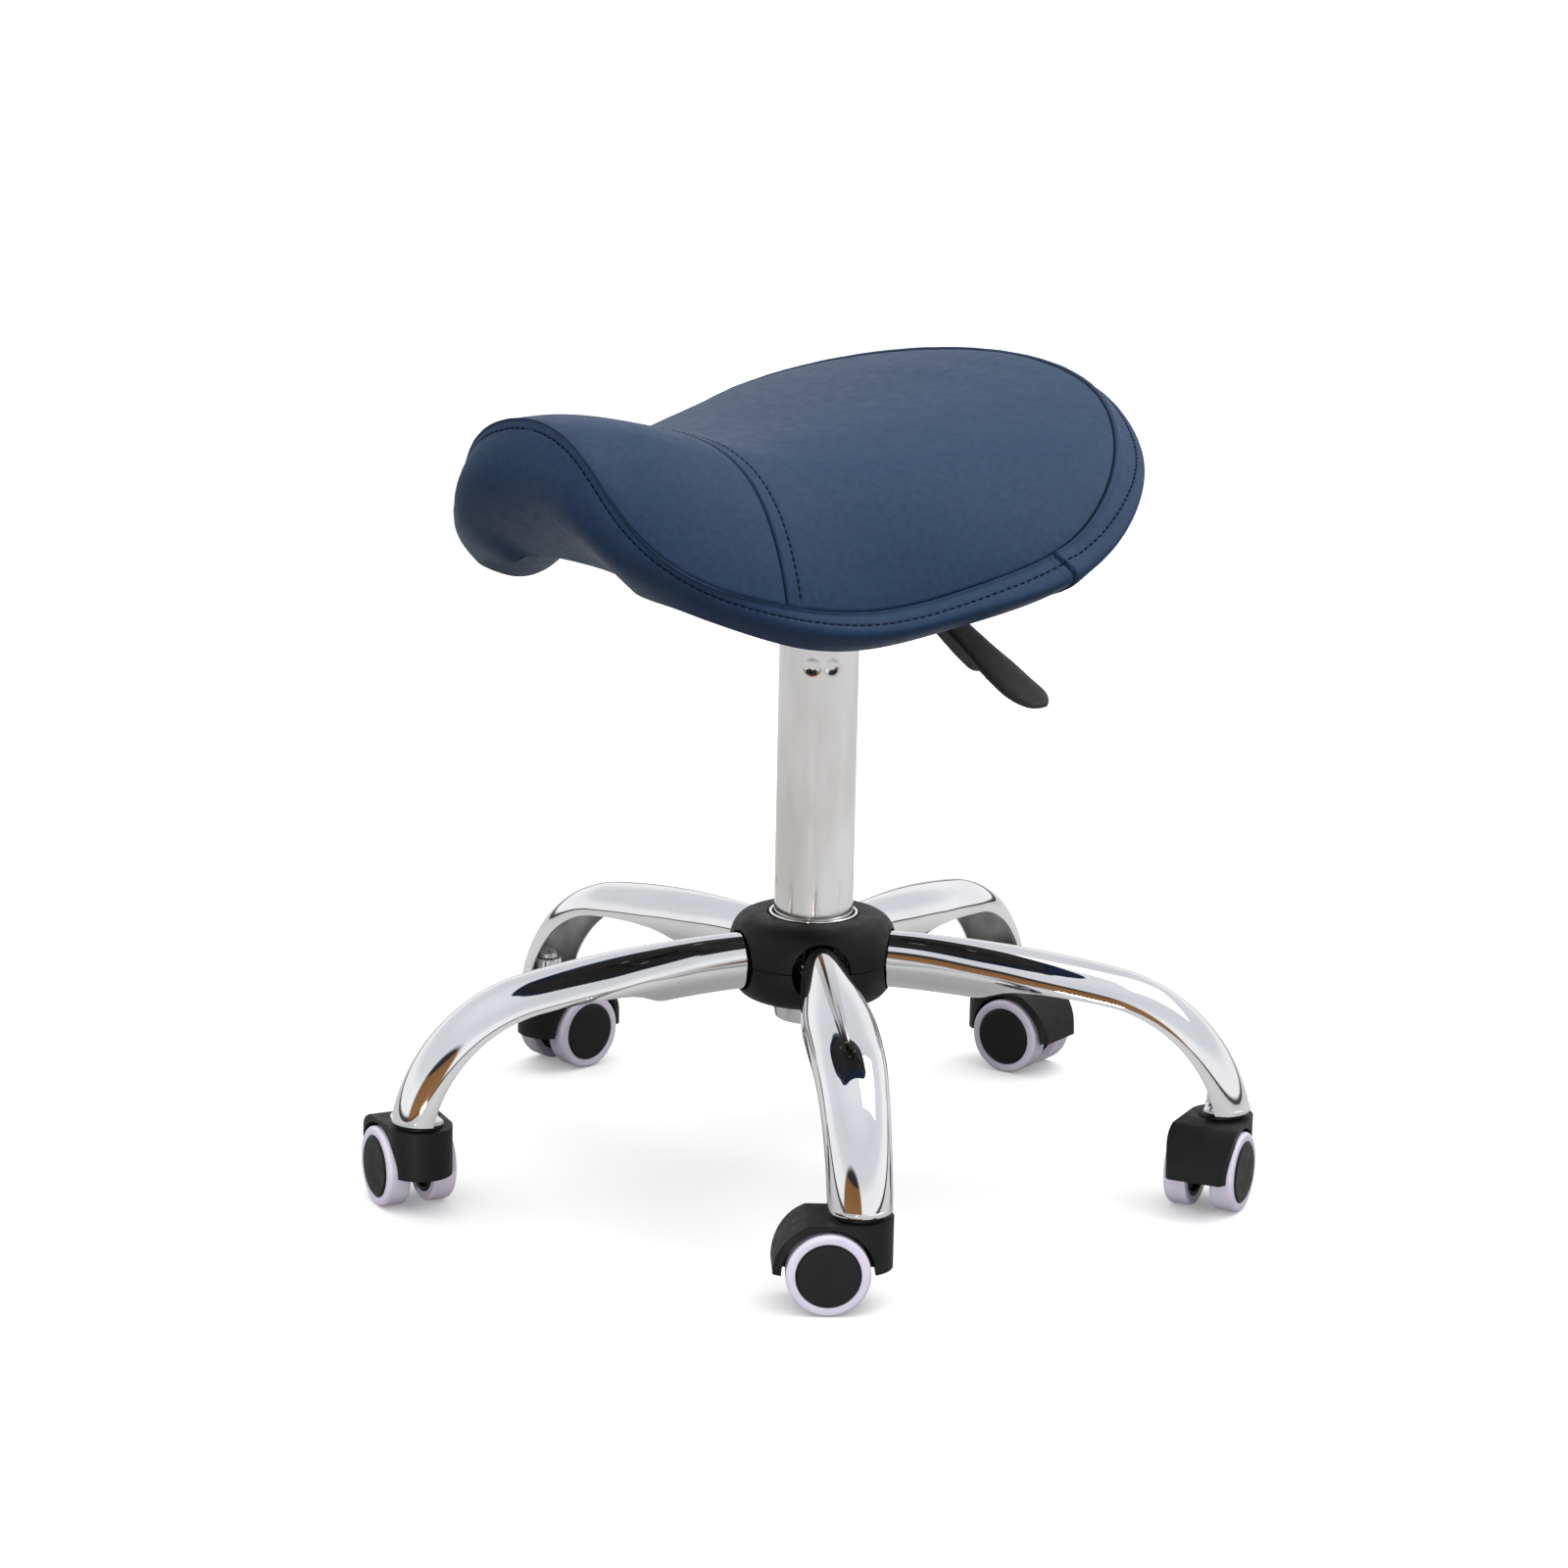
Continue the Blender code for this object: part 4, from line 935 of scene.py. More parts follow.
def build_casters(stems):
    spins = [Vector(JOINTS[f"wheel_spin_{k}_left"]["pos_m"]) for k in range(1, 6)]
    trail = (spins[0] - stems[0]).to_2d().length
    hood = hood_mesh(trail)
    stem = stem_mesh()
    tyre = tyre_mesh()
    disc = disc_mesh()
    axle = laid(solid_turned("axle", ring_outline(0, AXLE_RADIUS, -AXLE_HALF, AXLE_HALF), 0.0005, 48))
    for number, (foot, spin) in enumerate(zip(stems, spins), 1):
        yaw = math.atan2(spin.y - foot.y, spin.x - foot.x)
        caster = f"caster_{number}"
        cover = piece(f"hood_{number}", hood, "black_plastic", caster, [f"caster_hood_{number}"], foot, yaw)
        softened(cover, 0.0016, 4)
        piece(f"stem_{number}", stem, "zinc_steel", "base", [f"caster_stem_{number}"], foot)
        piece(f"axle_{number}", axle, "zinc_steel", caster, [f"caster_axle_{number}"], spin, yaw)
        for side, tilt in (("left", -math.pi / 2), ("right", math.pi / 2)):
            which = f"{number}_{side}"
            wheel = f"wheel_{which}"
            piece(f"disc_{which}", disc, "black_plastic", wheel, [f"wheel_disc_{which}"], spin, yaw, tilt)
            piece(f"tread_{which}", tyre, "lilac_tread", wheel, [f"tyre_{which}"], spin, yaw, tilt)


# --- seat ---------------------------------------------------------------------------------------


def height_on(curve, y):
    """Height of a centre line at y; beyond its ends it stays level."""
    table = np.array(curve)
    return spline(table[:, 0], table[:, 1:], np.clip(y, table[0, 0], table[-1, 0]))[:, 0]


def band_shape(share):
    """Height, bulge and lean of the side band from the nose (share 0) to the rear (share 1)."""
    table = np.array(BAND)
    around = np.vstack([table, table[-2::-1]])
    around[len(table) :, 0] = 2 - around[len(table) :, 0]
    return spline(around[:, 0], around[:, 1:], share, closed=True).T


def fine_turns():
    """Places round the seam, as shares of a turn from the nose: close together at the sewn details."""
    grid = np.linspace(0, 0.5, 4001)
    weight = 1.0 + 7.0 * bump(grid - CROSS_SHARE / 2 - 0.003, 0.0095)
    weight += 3.5 * bump(grid - JOIN_SHARE / 2, 0.008)
    reach = np.concatenate([[0], np.cumsum((weight[1:] + weight[:-1]) / 2)])
    half = np.interp(np.linspace(0, reach[-1], 221), reach, grid)
    return np.concatenate([half, 1 - half[-2:0:-1]])


class SeatSkin:
    """The seat's surfaces on one grid: rows from the centre line outwards, columns round the seam."""

    def __init__(self, turns):
        half = np.array(SEAM)
        loop = np.vstack([half, half[-2::-1] * (-1, 1, 1)])
        reach = np.concatenate([[0], np.cumsum(np.linalg.norm(np.diff(loop, axis=0), axis=1))])
        self.share = 1 - np.abs(1 - 2 * turns)
        self.seam = spline(reach, loop, reach[-1] * turns, closed=True)
        ahead = spline(reach, loop, reach[-1] * ((turns + 0.002) % 1), closed=True)
        behind = spline(reach, loop, reach[-1] * ((turns - 0.002) % 1), closed=True)
        along = ahead - behind
        outward = np.stack([along[:, 1], -along[:, 0], np.zeros(len(along))], axis=1)
        self.outward = outward / np.linalg.norm(outward, axis=1)[:, None]
        table = np.array(SPINE)
        self.spine = spline(table[:, 0], table[:, 1:], self.share)[:, 0]
        self.bend = CROSS_BEND * bump(self.share - CROSS_SHARE, 0.16)

    def edge(self, inset):
        return self.seam - self.outward * inset - np.array([0, 0, inset])

    def surface_row(self, edge, curve, lift, power, part, bend=0.0):
        """One row between the centre line (part 0) and an edge (part 1), over a centre curve."""
        part = np.broadcast_to(part, self.share.shape)
        middle = np.stack([np.zeros(len(part)), self.spine], axis=1)
        drop = height_on(curve, edge[:, 1]) + lift - edge[:, 2]
        plan = middle + (edge[:, :2] - middle) * part[:, None]
        outer = np.maximum(part, 0.5)
        plan[:, 1] += bend * 4 * outer * (1 - outer)
        return np.column_stack([plan, height_on(curve, plan[:, 1]) + lift - drop * part**power])

    def band_row(self, edge, down):
        """One row of the side band: down is 0 at the seam and 1 at the bottom."""
        height, bulge, lean = band_shape(self.share)
        down = np.broadcast_to(down, self.share.shape)
        out = bulge * np.sin(np.pi * down) + lean * height * down
        return edge + self.outward * out[:, None] - np.outer(height * down, (0, 0, 1))


def grid_normals(grid):
    """Outward normals of a grid of rows that run round the seat."""
    down = np.gradient(grid, axis=0)
    along = np.roll(grid, -1, axis=1) - np.roll(grid, 1, axis=1)
    normal = np.cross(down, along)
    normal /= np.maximum(np.linalg.norm(normal, axis=2), 1e-12)[..., None]
    normal[0, :, 0] = 0.0
    return normal


def signed_distance(grid, column):
    """Distance of each point from one column, along its row, positive towards the rear."""
    steps = np.linalg.norm(np.diff(grid, axis=1), axis=2)
    reach = np.concatenate([np.zeros((len(grid), 1)), np.cumsum(steps, axis=1)], axis=1)
    return reach - reach[:, column : column + 1]


# rows of the skin beside the seam, as distances from it in millimetres: on top, and down the band
SEAM_ROWS = (14, 11, 9, 7.2, 5.8, 4.6, 3.7, 3.0, 2.4, 1.9, 1.5, 1.15, 0.85, 0.6, 0.4, 0.2)
BAND_ROWS = (
    0, 0.25, 0.5, 0.75, 1.0, 1.3, 1.7, 2.2, 2.8, 3.6, 4.6, 5.3,
    5.8, 6.1, 6.4, 6.8, 7.2, 7.6, 8.0, 8.4, 8.8, 9.4, 10.4,
)
# rows between the centre line and those on top, and between the band's and its bottom
MIDDLE_ROWS = 26
LOWER_ROWS = 16


def seat_grid(skin):
    """Rows of the outer skin, and each row's distance from the seam: negative on top."""
    edge = skin.edge(0.0)
    middle = np.stack([np.zeros(len(edge)), skin.spine], axis=1)
    length = np.linalg.norm(edge[:, :2] - middle, axis=1)
    outer = SEAM_ROWS[0] * MM
    rows = []
    distance = []
    for k in range(MIDDLE_ROWS):
        part = (1 - outer / length) * k / MIDDLE_ROWS
        rows.append(skin.surface_row(edge, RIDGE, 0.0, TOP_POWER, part, skin.bend))
        distance.append(-length * (1 - part))
    for away in SEAM_ROWS:
        part = 1 - away * MM / length
        rows.append(skin.surface_row(edge, RIDGE, 0.0, TOP_POWER, part, skin.bend))
        distance.append(np.full(len(edge), -away * MM))
    height = band_shape(skin.share)[0]
    for away in BAND_ROWS:
        rows.append(skin.band_row(edge, 0.55 * away * MM / height * (1 + away / BAND_ROWS[-1] * 0.35)))
        distance.append(np.full(len(edge), away * MM))
    start = 0.55 * BAND_ROWS[-1] * 1.35 * MM / height
    for k in range(1, LOWER_ROWS + 1):
        down = start + (1 - start) * k / LOWER_ROWS
        rows.append(skin.band_row(edge, down))
        distance.append((BAND_ROWS[-1] * MM) + height * (down - start) * 1.3)
    return np.array(rows), np.array(distance)


def stitch_line(turns):
    """Distance of the band's stitch line from the seam, round the seat."""
    table = np.array(BAND_STITCH)
    return np.interp(1 - np.abs(1 - 2 * turns), table[:, 0], table[:, 1])


def sewn_relief(grid, away, turns):
    """How far the sewn seams, the folds beside them and the stitch lines move the skin, in metres."""
    on_top = away < 0
    top = -1.3 * bump(away, 0.0007) - 0.7 * bump(away, 0.0050)
    band = -1.3 * bump(away, 0.00035) + 1.25 * bump(away - 0.0011, 0.0009)
    line = away - stitch_line(turns)
    band += -0.55 * bump(line, 0.0006) - 0.30 * bump(line, 0.0026)
    relief = np.where(on_top, top, band)
    cross = int(np.argmin(np.abs(turns - CROSS_SHARE / 2)))
    count = len(turns)
    side = signed_distance(grid, cross)
    mirrored = -signed_distance(grid, count - cross)
    behind = np.where(np.arange(count)[None, :] <= count // 2, side, mirrored)
    fade = np.where(on_top, 1 - 0.8 * bump(away, 0.0008), 0.0)
    sewn = -1.6 * bump(behind, 0.0007) - 0.45 * bump(behind, 0.0045) + 0.30 * bump(behind - 0.0019, 0.0012)
    sewn += -0.50 * bump(behind - CROSS_STITCH, 0.0006) - 0.22 * bump(behind - CROSS_STITCH, 0.0026)
    relief = relief + sewn * fade
    join = int(np.argmin(np.abs(turns - JOIN_SHARE / 2)))
    past = signed_distance(grid, join) - 0.0035 * np.sin(np.clip(away / 0.03, 0, 1) * 2.6)
    on_band = np.clip(away / 0.0015, 0, 1)
    step = np.where(past > 0, 1.5 * bump(past, 0.010), 0.0)
    relief = relief + on_band * (step - 1.9 * bump(past + 0.0003, 0.0007))
    around = np.arange(count) / count * 2 * np.pi
    pucker = np.sin(around * 118) * np.sin(around * 31 + 1.0) * 0.10 + np.sin(around * 57 + 2.0) * 0.07
    relief = relief + pucker[None, :] * bump(np.abs(away) - 0.004, 0.006)
    return relief * MM, behind


def woven(rows):
    """Points, their numbers on the grid, and faces; on the centre line both sides share points."""
    count = len(rows[0])
    points = []
    index = []
    for row in rows:
        on_centre = np.abs(row[:, 0]).max() < 1e-6
        numbers = []
        for k, point in enumerate(row):
            if on_centre and k > count // 2:
                numbers.append(numbers[count - k])
                continue
            numbers.append(len(points))
            points.append(point)
        index.append(numbers)
    faces = []
    for upper, lower in zip(index, index[1:]):
        for k in range(count):
            n = (k + 1) % count
            corners = list(dict.fromkeys((upper[k], upper[n], lower[n], lower[k])))
            if len(corners) > 2:
                faces.append(corners)
    return points, np.array(index), faces


def loft(name, rows):
    """A mesh through rows that run round the seat."""
    points, _, faces = woven(rows)
    return as_mesh(name, points, faces)


def cloth_swell(grid, away, turns):
    """How far the padded panels swell between their seams, from a cloth simulation of a coarser skin."""
    count = len(turns)
    cross = int(np.argmin(np.abs(turns - CROSS_SHARE / 2)))
    seam = int(np.argmin(np.abs(away[:, 0])))
    stitched = int(np.argmin(np.abs(away[:, 0] - stitch_line(turns).mean())))
    last = len(grid) - 1
    between = (seam + stitched) // 2
    rows = sorted({*range(0, seam, 3), seam, between, stitched, *range(last, stitched + 2, -3)})
    columns = sorted({*range(0, count // 2, 4), cross})
    columns += [count // 2] + [count - k for k in reversed(columns) if k]
    coarse = grid[np.ix_(rows, columns)].copy()
    coarse[:, [0, columns.index(count // 2)], 0] = 0.0
    points, index, faces = woven(list(coarse))
    mesh = as_mesh("cloth", points, faces)
    obj = bpy.data.objects.new("cloth", mesh)
    bpy.context.scene.collection.objects.link(obj)
    held = set()
    for r, row in enumerate(rows):
        for c, column in enumerate(columns):
            if row in (seam, stitched, last) or (row < seam and column in (cross, count - cross)):
                held.add(int(index[r, c]))
    obj.vertex_groups.new(name="sewn").add(sorted(held), 1.0, "REPLACE")
    cloth = obj.modifiers.new("cloth", "CLOTH")
    cloth.settings.quality = 6
    cloth.settings.mass = 0.3
    cloth.settings.tension_stiffness = 30.0
    cloth.settings.compression_stiffness = 30.0
    cloth.settings.shear_stiffness = 10.0
    cloth.settings.bending_stiffness = 4.0
    cloth.settings.air_damping = 2.0
    cloth.settings.use_pressure = True
    cloth.settings.uniform_pressure_force = CLOTH_PRESSURE
    cloth.settings.vertex_group_mass = "sewn"
    cloth.settings.effector_weights.gravity = 0.0
    scene = bpy.context.scene
    for step in range(1, CLOTH_FRAMES + 1):
        scene.frame_set(step)
    swollen = obj.evaluated_get(bpy.context.evaluated_depsgraph_get()).to_mesh()
    moved_to = np.array([vertex.co for vertex in swollen.vertices])[index]
    scene.frame_set(1)
    bpy.data.objects.remove(obj)
    swell = ((moved_to - coarse) * grid_normals(coarse)).sum(axis=2)
    swell = CLOTH_CAP * np.tanh(np.maximum(swell, 0.0) / CLOTH_CAP)
    swell = spline(rows, swell, np.arange(len(grid)))
    ring = np.append(turns[columns], 1.0)
    return spline(ring, np.vstack([swell.T, swell.T[:1]]), turns, closed=True).T


def board_span(share):
    """Share of the band's height where the board starts and where it ends."""
    height = band_shape(share)[0]
    end = 1 - BOARD_EDGE_RISE / height
    return end - 0.7 * BOARD_THICKNESS / height, end


def stitches(name, path, normals):
    """A run of separate thread stitches along a path that lies on the skin."""
    reach = np.concatenate([[0], np.cumsum(np.linalg.norm(np.diff(path, axis=0), axis=1))])
    centres = np.arange(STITCH_PITCH, reach[-1] - STITCH_PITCH, STITCH_PITCH)
    # places along a stitch, with the thread's size and its lift off the skin
    profile = (
        (-0.5, 0.30, -0.9), (-0.42, 0.75, -0.2), (-0.22, 1.0, 0.25),
        (0.22, 1.0, 0.25), (0.42, 0.75, -0.2), (0.5, 0.30, -0.9),
    )
    sides = 8
    points = []
    faces = []

    def read(values, at):
        return np.array([np.interp(at, reach, values[:, axis]) for axis in range(3)])

    for centre in centres:
        first = len(points)
        for along, size, lift in profile:
            at = centre + along * STITCH_LENGTH
            tangent = read(path, at + 0.0004) - read(path, at - 0.0004)
            tangent /= np.linalg.norm(tangent)
            normal = read(normals, at)
            normal -= tangent * (normal @ tangent)
            normal /= np.linalg.norm(normal)
            across = np.cross(tangent, normal)
            middle = read(path, at) + normal * lift * THREAD_RADIUS
            for k in range(sides):
                angle = 2 * math.pi * k / sides
                spoke = across * math.cos(angle) + normal * math.sin(angle)
                points.append(middle + spoke * THREAD_RADIUS * size)
        for face in grid_faces(len(profile), sides):
            faces.append(tuple(first + k for k in face))
        faces.append(tuple(first + k for k in range(sides)))
        faces.append(tuple(first + sides * len(profile) - 1 - k for k in range(sides)))
    return as_mesh(name, points, faces)


def seam_shade(name, path, normals, closed):
    """A thin dark tube in the thread material, laid in the bottom of a seam: painted shade that stands in
    for the seam's shadowed gap.
    """
    sides = 8
    ahead = np.roll(path, -1, axis=0) - np.roll(path, 1, axis=0)
    if not closed:
        ahead[0] = path[1] - path[0]
        ahead[-1] = path[-1] - path[-2]
    ahead /= np.linalg.norm(ahead, axis=1)[:, None]
    across = np.cross(ahead, normals)
    across /= np.linalg.norm(across, axis=1)[:, None]
    upright = np.cross(across, ahead)
    rings = [path + SEAM_SHADE_RADIUS * (across * math.cos(angle) + upright * math.sin(angle))
             for angle in np.linspace(0, 2 * math.pi, sides, endpoint=False)]
    points = np.stack(rings, axis=1).reshape(-1, 3)
    faces = list(grid_faces(len(path), sides))
    if closed:
        last = sides * (len(path) - 1)
        faces += [(last + k, last + (k + 1) % sides, (k + 1) % sides, k) for k in range(sides)]
    else:
        faces.append(tuple(range(sides)))
        faces.append(tuple(len(points) - 1 - k for k in range(sides)))
    return as_mesh(name, points, faces)


def build_seat():
    turns = fine_turns()
    count = len(turns)
    skin = SeatSkin(turns)
    grid, away = seat_grid(skin)
    relief, behind = sewn_relief(grid, away, turns)
    normals = grid_normals(grid)
    swell = cloth_swell(grid, away, turns)
    outer = grid + normals * (relief + swell - CLOTH_CAP * CLOTH_START)[..., None]
    rows = list(outer)
    bottom = grid[-1]
    for part in (0.985, 0.955, 0.92, 0.89, HEM):
        rows.append(skin.surface_row(bottom, UNDER, 0.0, UNDER_POWER, part))
    inner_edge = bottom + np.array([0, 0, VINYL])
    rows.append(skin.surface_row(inner_edge, UNDER, VINYL, UNDER_POWER, HEM))
    rows.append(skin.surface_row(inner_edge, UNDER, VINYL, UNDER_POWER, 0.955))
    start, end = board_span(skin.share)
    inside = skin.edge(0.0034)
    rows.append(skin.band_row(inside, start - 0.001 / band_shape(skin.share)[0]) - skin.outward * 0.0042)
    closing = rows[-1]
    for part in (0.8, 0.5, 0):
        rows.append(skin.surface_row(closing, UNDER, BOARD_TOP, UNDER_POWER, part))
    cushion = loft("cushion", rows)
    piece("cushion", cushion, "navy_vinyl", "seat", ["seat_cover", "seat_foam"])
    board_low = skin.edge(BOARD_INSET)
    top_edge = skin.band_row(board_low, start) - skin.outward * BOARD_BEVEL * 0.4
    low_edge = skin.band_row(board_low, end) - skin.outward * BOARD_BEVEL
    lift = BOARD_INSET + BOARD_THICKNESS
    parts = (0, 0.5, 0.8, 0.92, 1)
    board = [skin.surface_row(top_edge, UNDER, lift, UNDER_POWER, part) for part in parts]
    board += [skin.surface_row(low_edge, UNDER, BOARD_INSET, UNDER_POWER, part) for part in reversed(parts)]
    x, y, low, high = PAD
    pad = prism([(-x, -y), (x, -y), (x, y), (-x, y)], low, high, upright=True)
    shell = combined("board", loft("board", board), ("UNION", pad))
    piece("board", shell, "plywood", "seat", ["seat_board"])
    path = []
    facing = []
    line = stitch_line(turns)
    for column in [*range(count), 0]:
        reach = away[:, column]
        path.append([np.interp(line[column], reach, outer[:, column, axis]) for axis in range(3)])
        facing.append([np.interp(line[column], reach, normals[:, column, axis]) for axis in range(3)])
    path = np.array(path)
    facing = np.array(facing)
    piece("band_stitches", stitches("band_stitches", path, facing), "thread", "seat", [])
    # a dark tube sunk into the edge seam's groove, in thread material: painted shade for the seam's shadowed
    # gap
    seam_row = int(np.argmin(np.abs(away[:, 0])))
    hidden = SEAM_SHADE_RADIUS * 0.1
    run = outer[seam_row] - normals[seam_row] * hidden
    piece("edge_seam_shade", seam_shade("edge_seam_shade", run, normals[seam_row], True), "thread", "seat", [])
    path = []
    facing = []
    run = []
    upward = []
    last = int(np.argmin(np.abs(away[:, 0] + 0.0019)))
    for side in (1, -1):
        half = range(count // 2 + 1) if side > 0 else [0, *range(count - 1, count // 2 - 1, -1)]
        order = range(last, -1, -1) if side > 0 else range(1, last + 1)
        columns = list(half)
        for row in order:
            reach = behind[row, columns]
            path.append([np.interp(CROSS_STITCH, reach, outer[row, columns, axis]) for axis in range(3)])
            facing.append([np.interp(CROSS_STITCH, reach, normals[row, columns, axis]) for axis in range(3)])
            run.append([np.interp(0.0, reach, outer[row, columns, axis]) for axis in range(3)])
            upward.append([np.interp(0.0, reach, normals[row, columns, axis]) for axis in range(3)])
    mesh = stitches("cross_stitches", np.array(path), np.array(facing))
    piece("cross_stitches", mesh, "thread", "seat", [])
    # the same dark tube along the cross seam: painted shade for its shadowed gap
    run = np.array(run) - np.array(upward) * hidden
    piece("cross_seam_shade", seam_shade("cross_seam_shade", run, np.array(upward), False), "thread", "seat", [])


# --- mechanism ----------------------------------------------------------------------------------


def lever_section(half, depth, plate, inset):
    """Half of the lever's section as (y, distance below the top): a plate with a rib under it."""
    rib = max(depth, plate + 0.0002)
    side = half - inset if depth > plate + 0.0004 else half - 0.0005
    return [
        (0.0, 0.0), (half * 0.5, 0.0), (half - 0.0012, 0.0001), (half - 0.0003, 0.0005), (half, 0.0013),
        (half, plate - 0.0008), (half - 0.0005, plate - 0.0001), (side, plate), (side, plate + 0.0001),
        (side - 0.0002, (plate + rib) / 2), (side - 0.0006, rib - 0.0008), (side - 0.0016, rib), (0.0, rib),
    ]


def lever_mesh():
    """Moulded lever: a plate that widens to a round-ended paddle, stiffened by a rib underneath."""
    table = np.array(LEVER)
    tip = table[-1, 0]
    neck = PADDLE_CENTRE
    round_end = tip - (tip - neck) * np.geomspace(1, 0.002, 26)[1:]
    stations = np.concatenate([np.linspace(table[0, 0], neck, 80), round_end])
    points = []
    for x in stations:
        near = np.linspace(x - 0.004, x + 0.004, 9)
        half, top, depth = (np.interp(near, table[:, 0], table[:, k]).mean() for k in (1, 2, 3))
        plate = PADDLE_THICKNESS
        if x > neck:
            rounding = math.sqrt(max(0.0, 1 - ((x - neck) / (tip - neck)) ** 2.2))
            half = np.interp(neck, table[:, 0], table[:, 1]) * max(rounding, 0.04)
            thin = 0.55 + 0.45 * min(1.0, rounding * 1.6)
            top -= plate * (1 - thin) / 2
            plate *= thin
            depth = plate
        half = max(half, 0.0030)
        section = lever_section(half, depth, plate, RIB_INSET)
        loop = section + [(-y, z) for y, z in section[-2:0:-1]]
        points += [(x, y, top - z) for y, z in loop]
        sides = len(loop)
    faces = grid_faces(len(stations), sides)
    faces.append(tuple(range(sides)))
    faces.append(tuple(len(stations) * sides - 1 - k for k in range(sides)))
    mesh = as_mesh("lever", points, faces)
    pivot = Vector(JOINTS["lever_pivot"]["pos_m"]) - COLUMN
    bore = lathe("bore", ring_outline(0, 0.0028, -0.03, 0.03), 48)
    return combined("lever", mesh, ("DIFFERENCE", laid(bore, pivot.x, pivot.z)))


def build_mechanism():
    piece("lever_arm", lever_mesh(), "lever_plastic", "lever", ["lever"])
    pin = laid(solid_turned("pivot_pin", ring_outline(0, 0.0025, -0.0175, 0.0175), 0.0004, 48))
    piece("pivot_pin", pin, "zinc_steel", "seat", ["lever_pin"], Vector(JOINTS["lever_pivot"]["pos_m"]))
    softened(frame["nodes"]["seat_plate"], 0.0006, 2)
    for number in range(1, 5):
        softened(frame["nodes"][f"seat_bolt_{number}"], 0.0004, 2)


# sky levels by height, for matt surfaces and for mirror reflections
MATT_SKY = (
    (0.0, (0.12, 0.12, 0.12)),
    (0.5, (0.13, 0.13, 0.135)),
    (0.72, (0.75, 0.75, 0.76)),
    (1.0, (1.95, 1.95, 1.97)),
)
MIRROR_SKY = (
    (0.490, (0.60, 0.58, 0.56)),
    (0.500, (0.05, 0.045, 0.05)),
    (0.516, (0.07, 0.065, 0.07)),
    (0.530, (0.98, 0.98, 1.00)),
    (0.640, (0.95, 0.96, 0.98)),
    (0.720, (0.74, 0.76, 0.80)),
    (0.860, (0.70, 0.72, 0.76)),
    (1.000, (0.82, 0.84, 0.88)),
)
# the dim, warm end of the room behind the camera, as mirrors show it
ROOM_SKY = (
    (0.490, (0.30, 0.18, 0.10)),
    (0.500, (0.10, 0.05, 0.025)),
    (0.520, (0.30, 0.155, 0.065)),
    (0.680, (0.24, 0.12, 0.05)),
    (0.695, (0.03, 0.028, 0.03)),
    (0.770, (0.05, 0.048, 0.05)),
    (0.800, (0.85, 0.86, 0.88)),
    (1.000, (0.74, 0.76, 0.80)),
)
ROOM_HALF_ANGLE_DEG = 30.0
ROOM_BEARING_DEG = CAMERA_AZIMUTH_DEG - 24.0
# the floor as matt light, as the camera sees it and as mirrors show it
FLOOR_BOUNCE = 0.20
FLOOR_SEEN = 0.93
FLOOR_MIRRORED = 0.50
FLOOR_GLOW = 0.20


# --- stage --------------------------------------------------------------------------------------


def build_stage():
    floor = bpy.data.objects.new("floor", bpy.data.meshes.new("floor"))
    size = 30.0
    corners = [(-size, -size, 0), (size, -size, 0), (size, size, 0), (-size, size, 0)]
    floor.data.from_pydata(corners, [], [(0, 1, 2, 3)])
    bpy.context.scene.collection.objects.link(floor)
    floor.location.z = -0.0002
    paint = Surface("floor", (FLOOR_SEEN,) * 3, 0.7)
    rays = paint.node("ShaderNodeLightPath")
    grain = paint.ranged(paint.noise(3.0, 2.0), 0.985, 1.0)
    level = paint.ranged(rays.outputs["Is Glossy Ray"], FLOOR_BOUNCE, FLOOR_MIRRORED)
    seen = paint.node("ShaderNodeMix")
    seen.inputs["B"].default_value = FLOOR_SEEN
    paint.link(rays.outputs["Is Camera Ray"], seen.inputs["Factor"])
    paint.link(level, seen.inputs["A"])
    shade = paint.node("ShaderNodeMath")
    shade.operation = "MULTIPLY"
    paint.link(seen.outputs["Result"], shade.inputs[0])
    paint.link(grain, shade.inputs[1])
    paint.link(shade.outputs["Value"], paint.shader.inputs["Base Color"])
    paint.shader.inputs["Specular IOR Level"].default_value = 0.0
    paint.shader.inputs["Emission Color"].default_value = (1.0, 1.0, 1.0, 1.0)
    glow = paint.ranged(rays.outputs["Is Camera Ray"], 0.0, FLOOR_GLOW)
    paint.link(glow, paint.shader.inputs["Emission Strength"])
    floor.data.materials.append(paint.material)
    return floor


def softbox(name, azimuth, elevation, distance, width, height, power, aim=0.3, spread=180.0):
    """An area light on a bearing from the column, aimed at a height on its axis."""
    light = bpy.data.lights.new(name, "AREA")
    light.shape = "RECTANGLE"
    light.size = width
    light.size_y = height
    light.energy = power
    light.spread = math.radians(spread)
    lamp = bpy.data.objects.new(name, light)
    bpy.context.scene.collection.objects.link(lamp)
    a, e = math.radians(azimuth), math.radians(elevation)
    back = Vector((math.sin(a) * math.cos(e), -math.cos(a) * math.cos(e), math.sin(e)))
    lamp.location = COLUMN + Vector((0, 0, aim)) + back * distance
    lamp.rotation_euler = (-back).to_track_quat("-Z", "Y").to_euler()


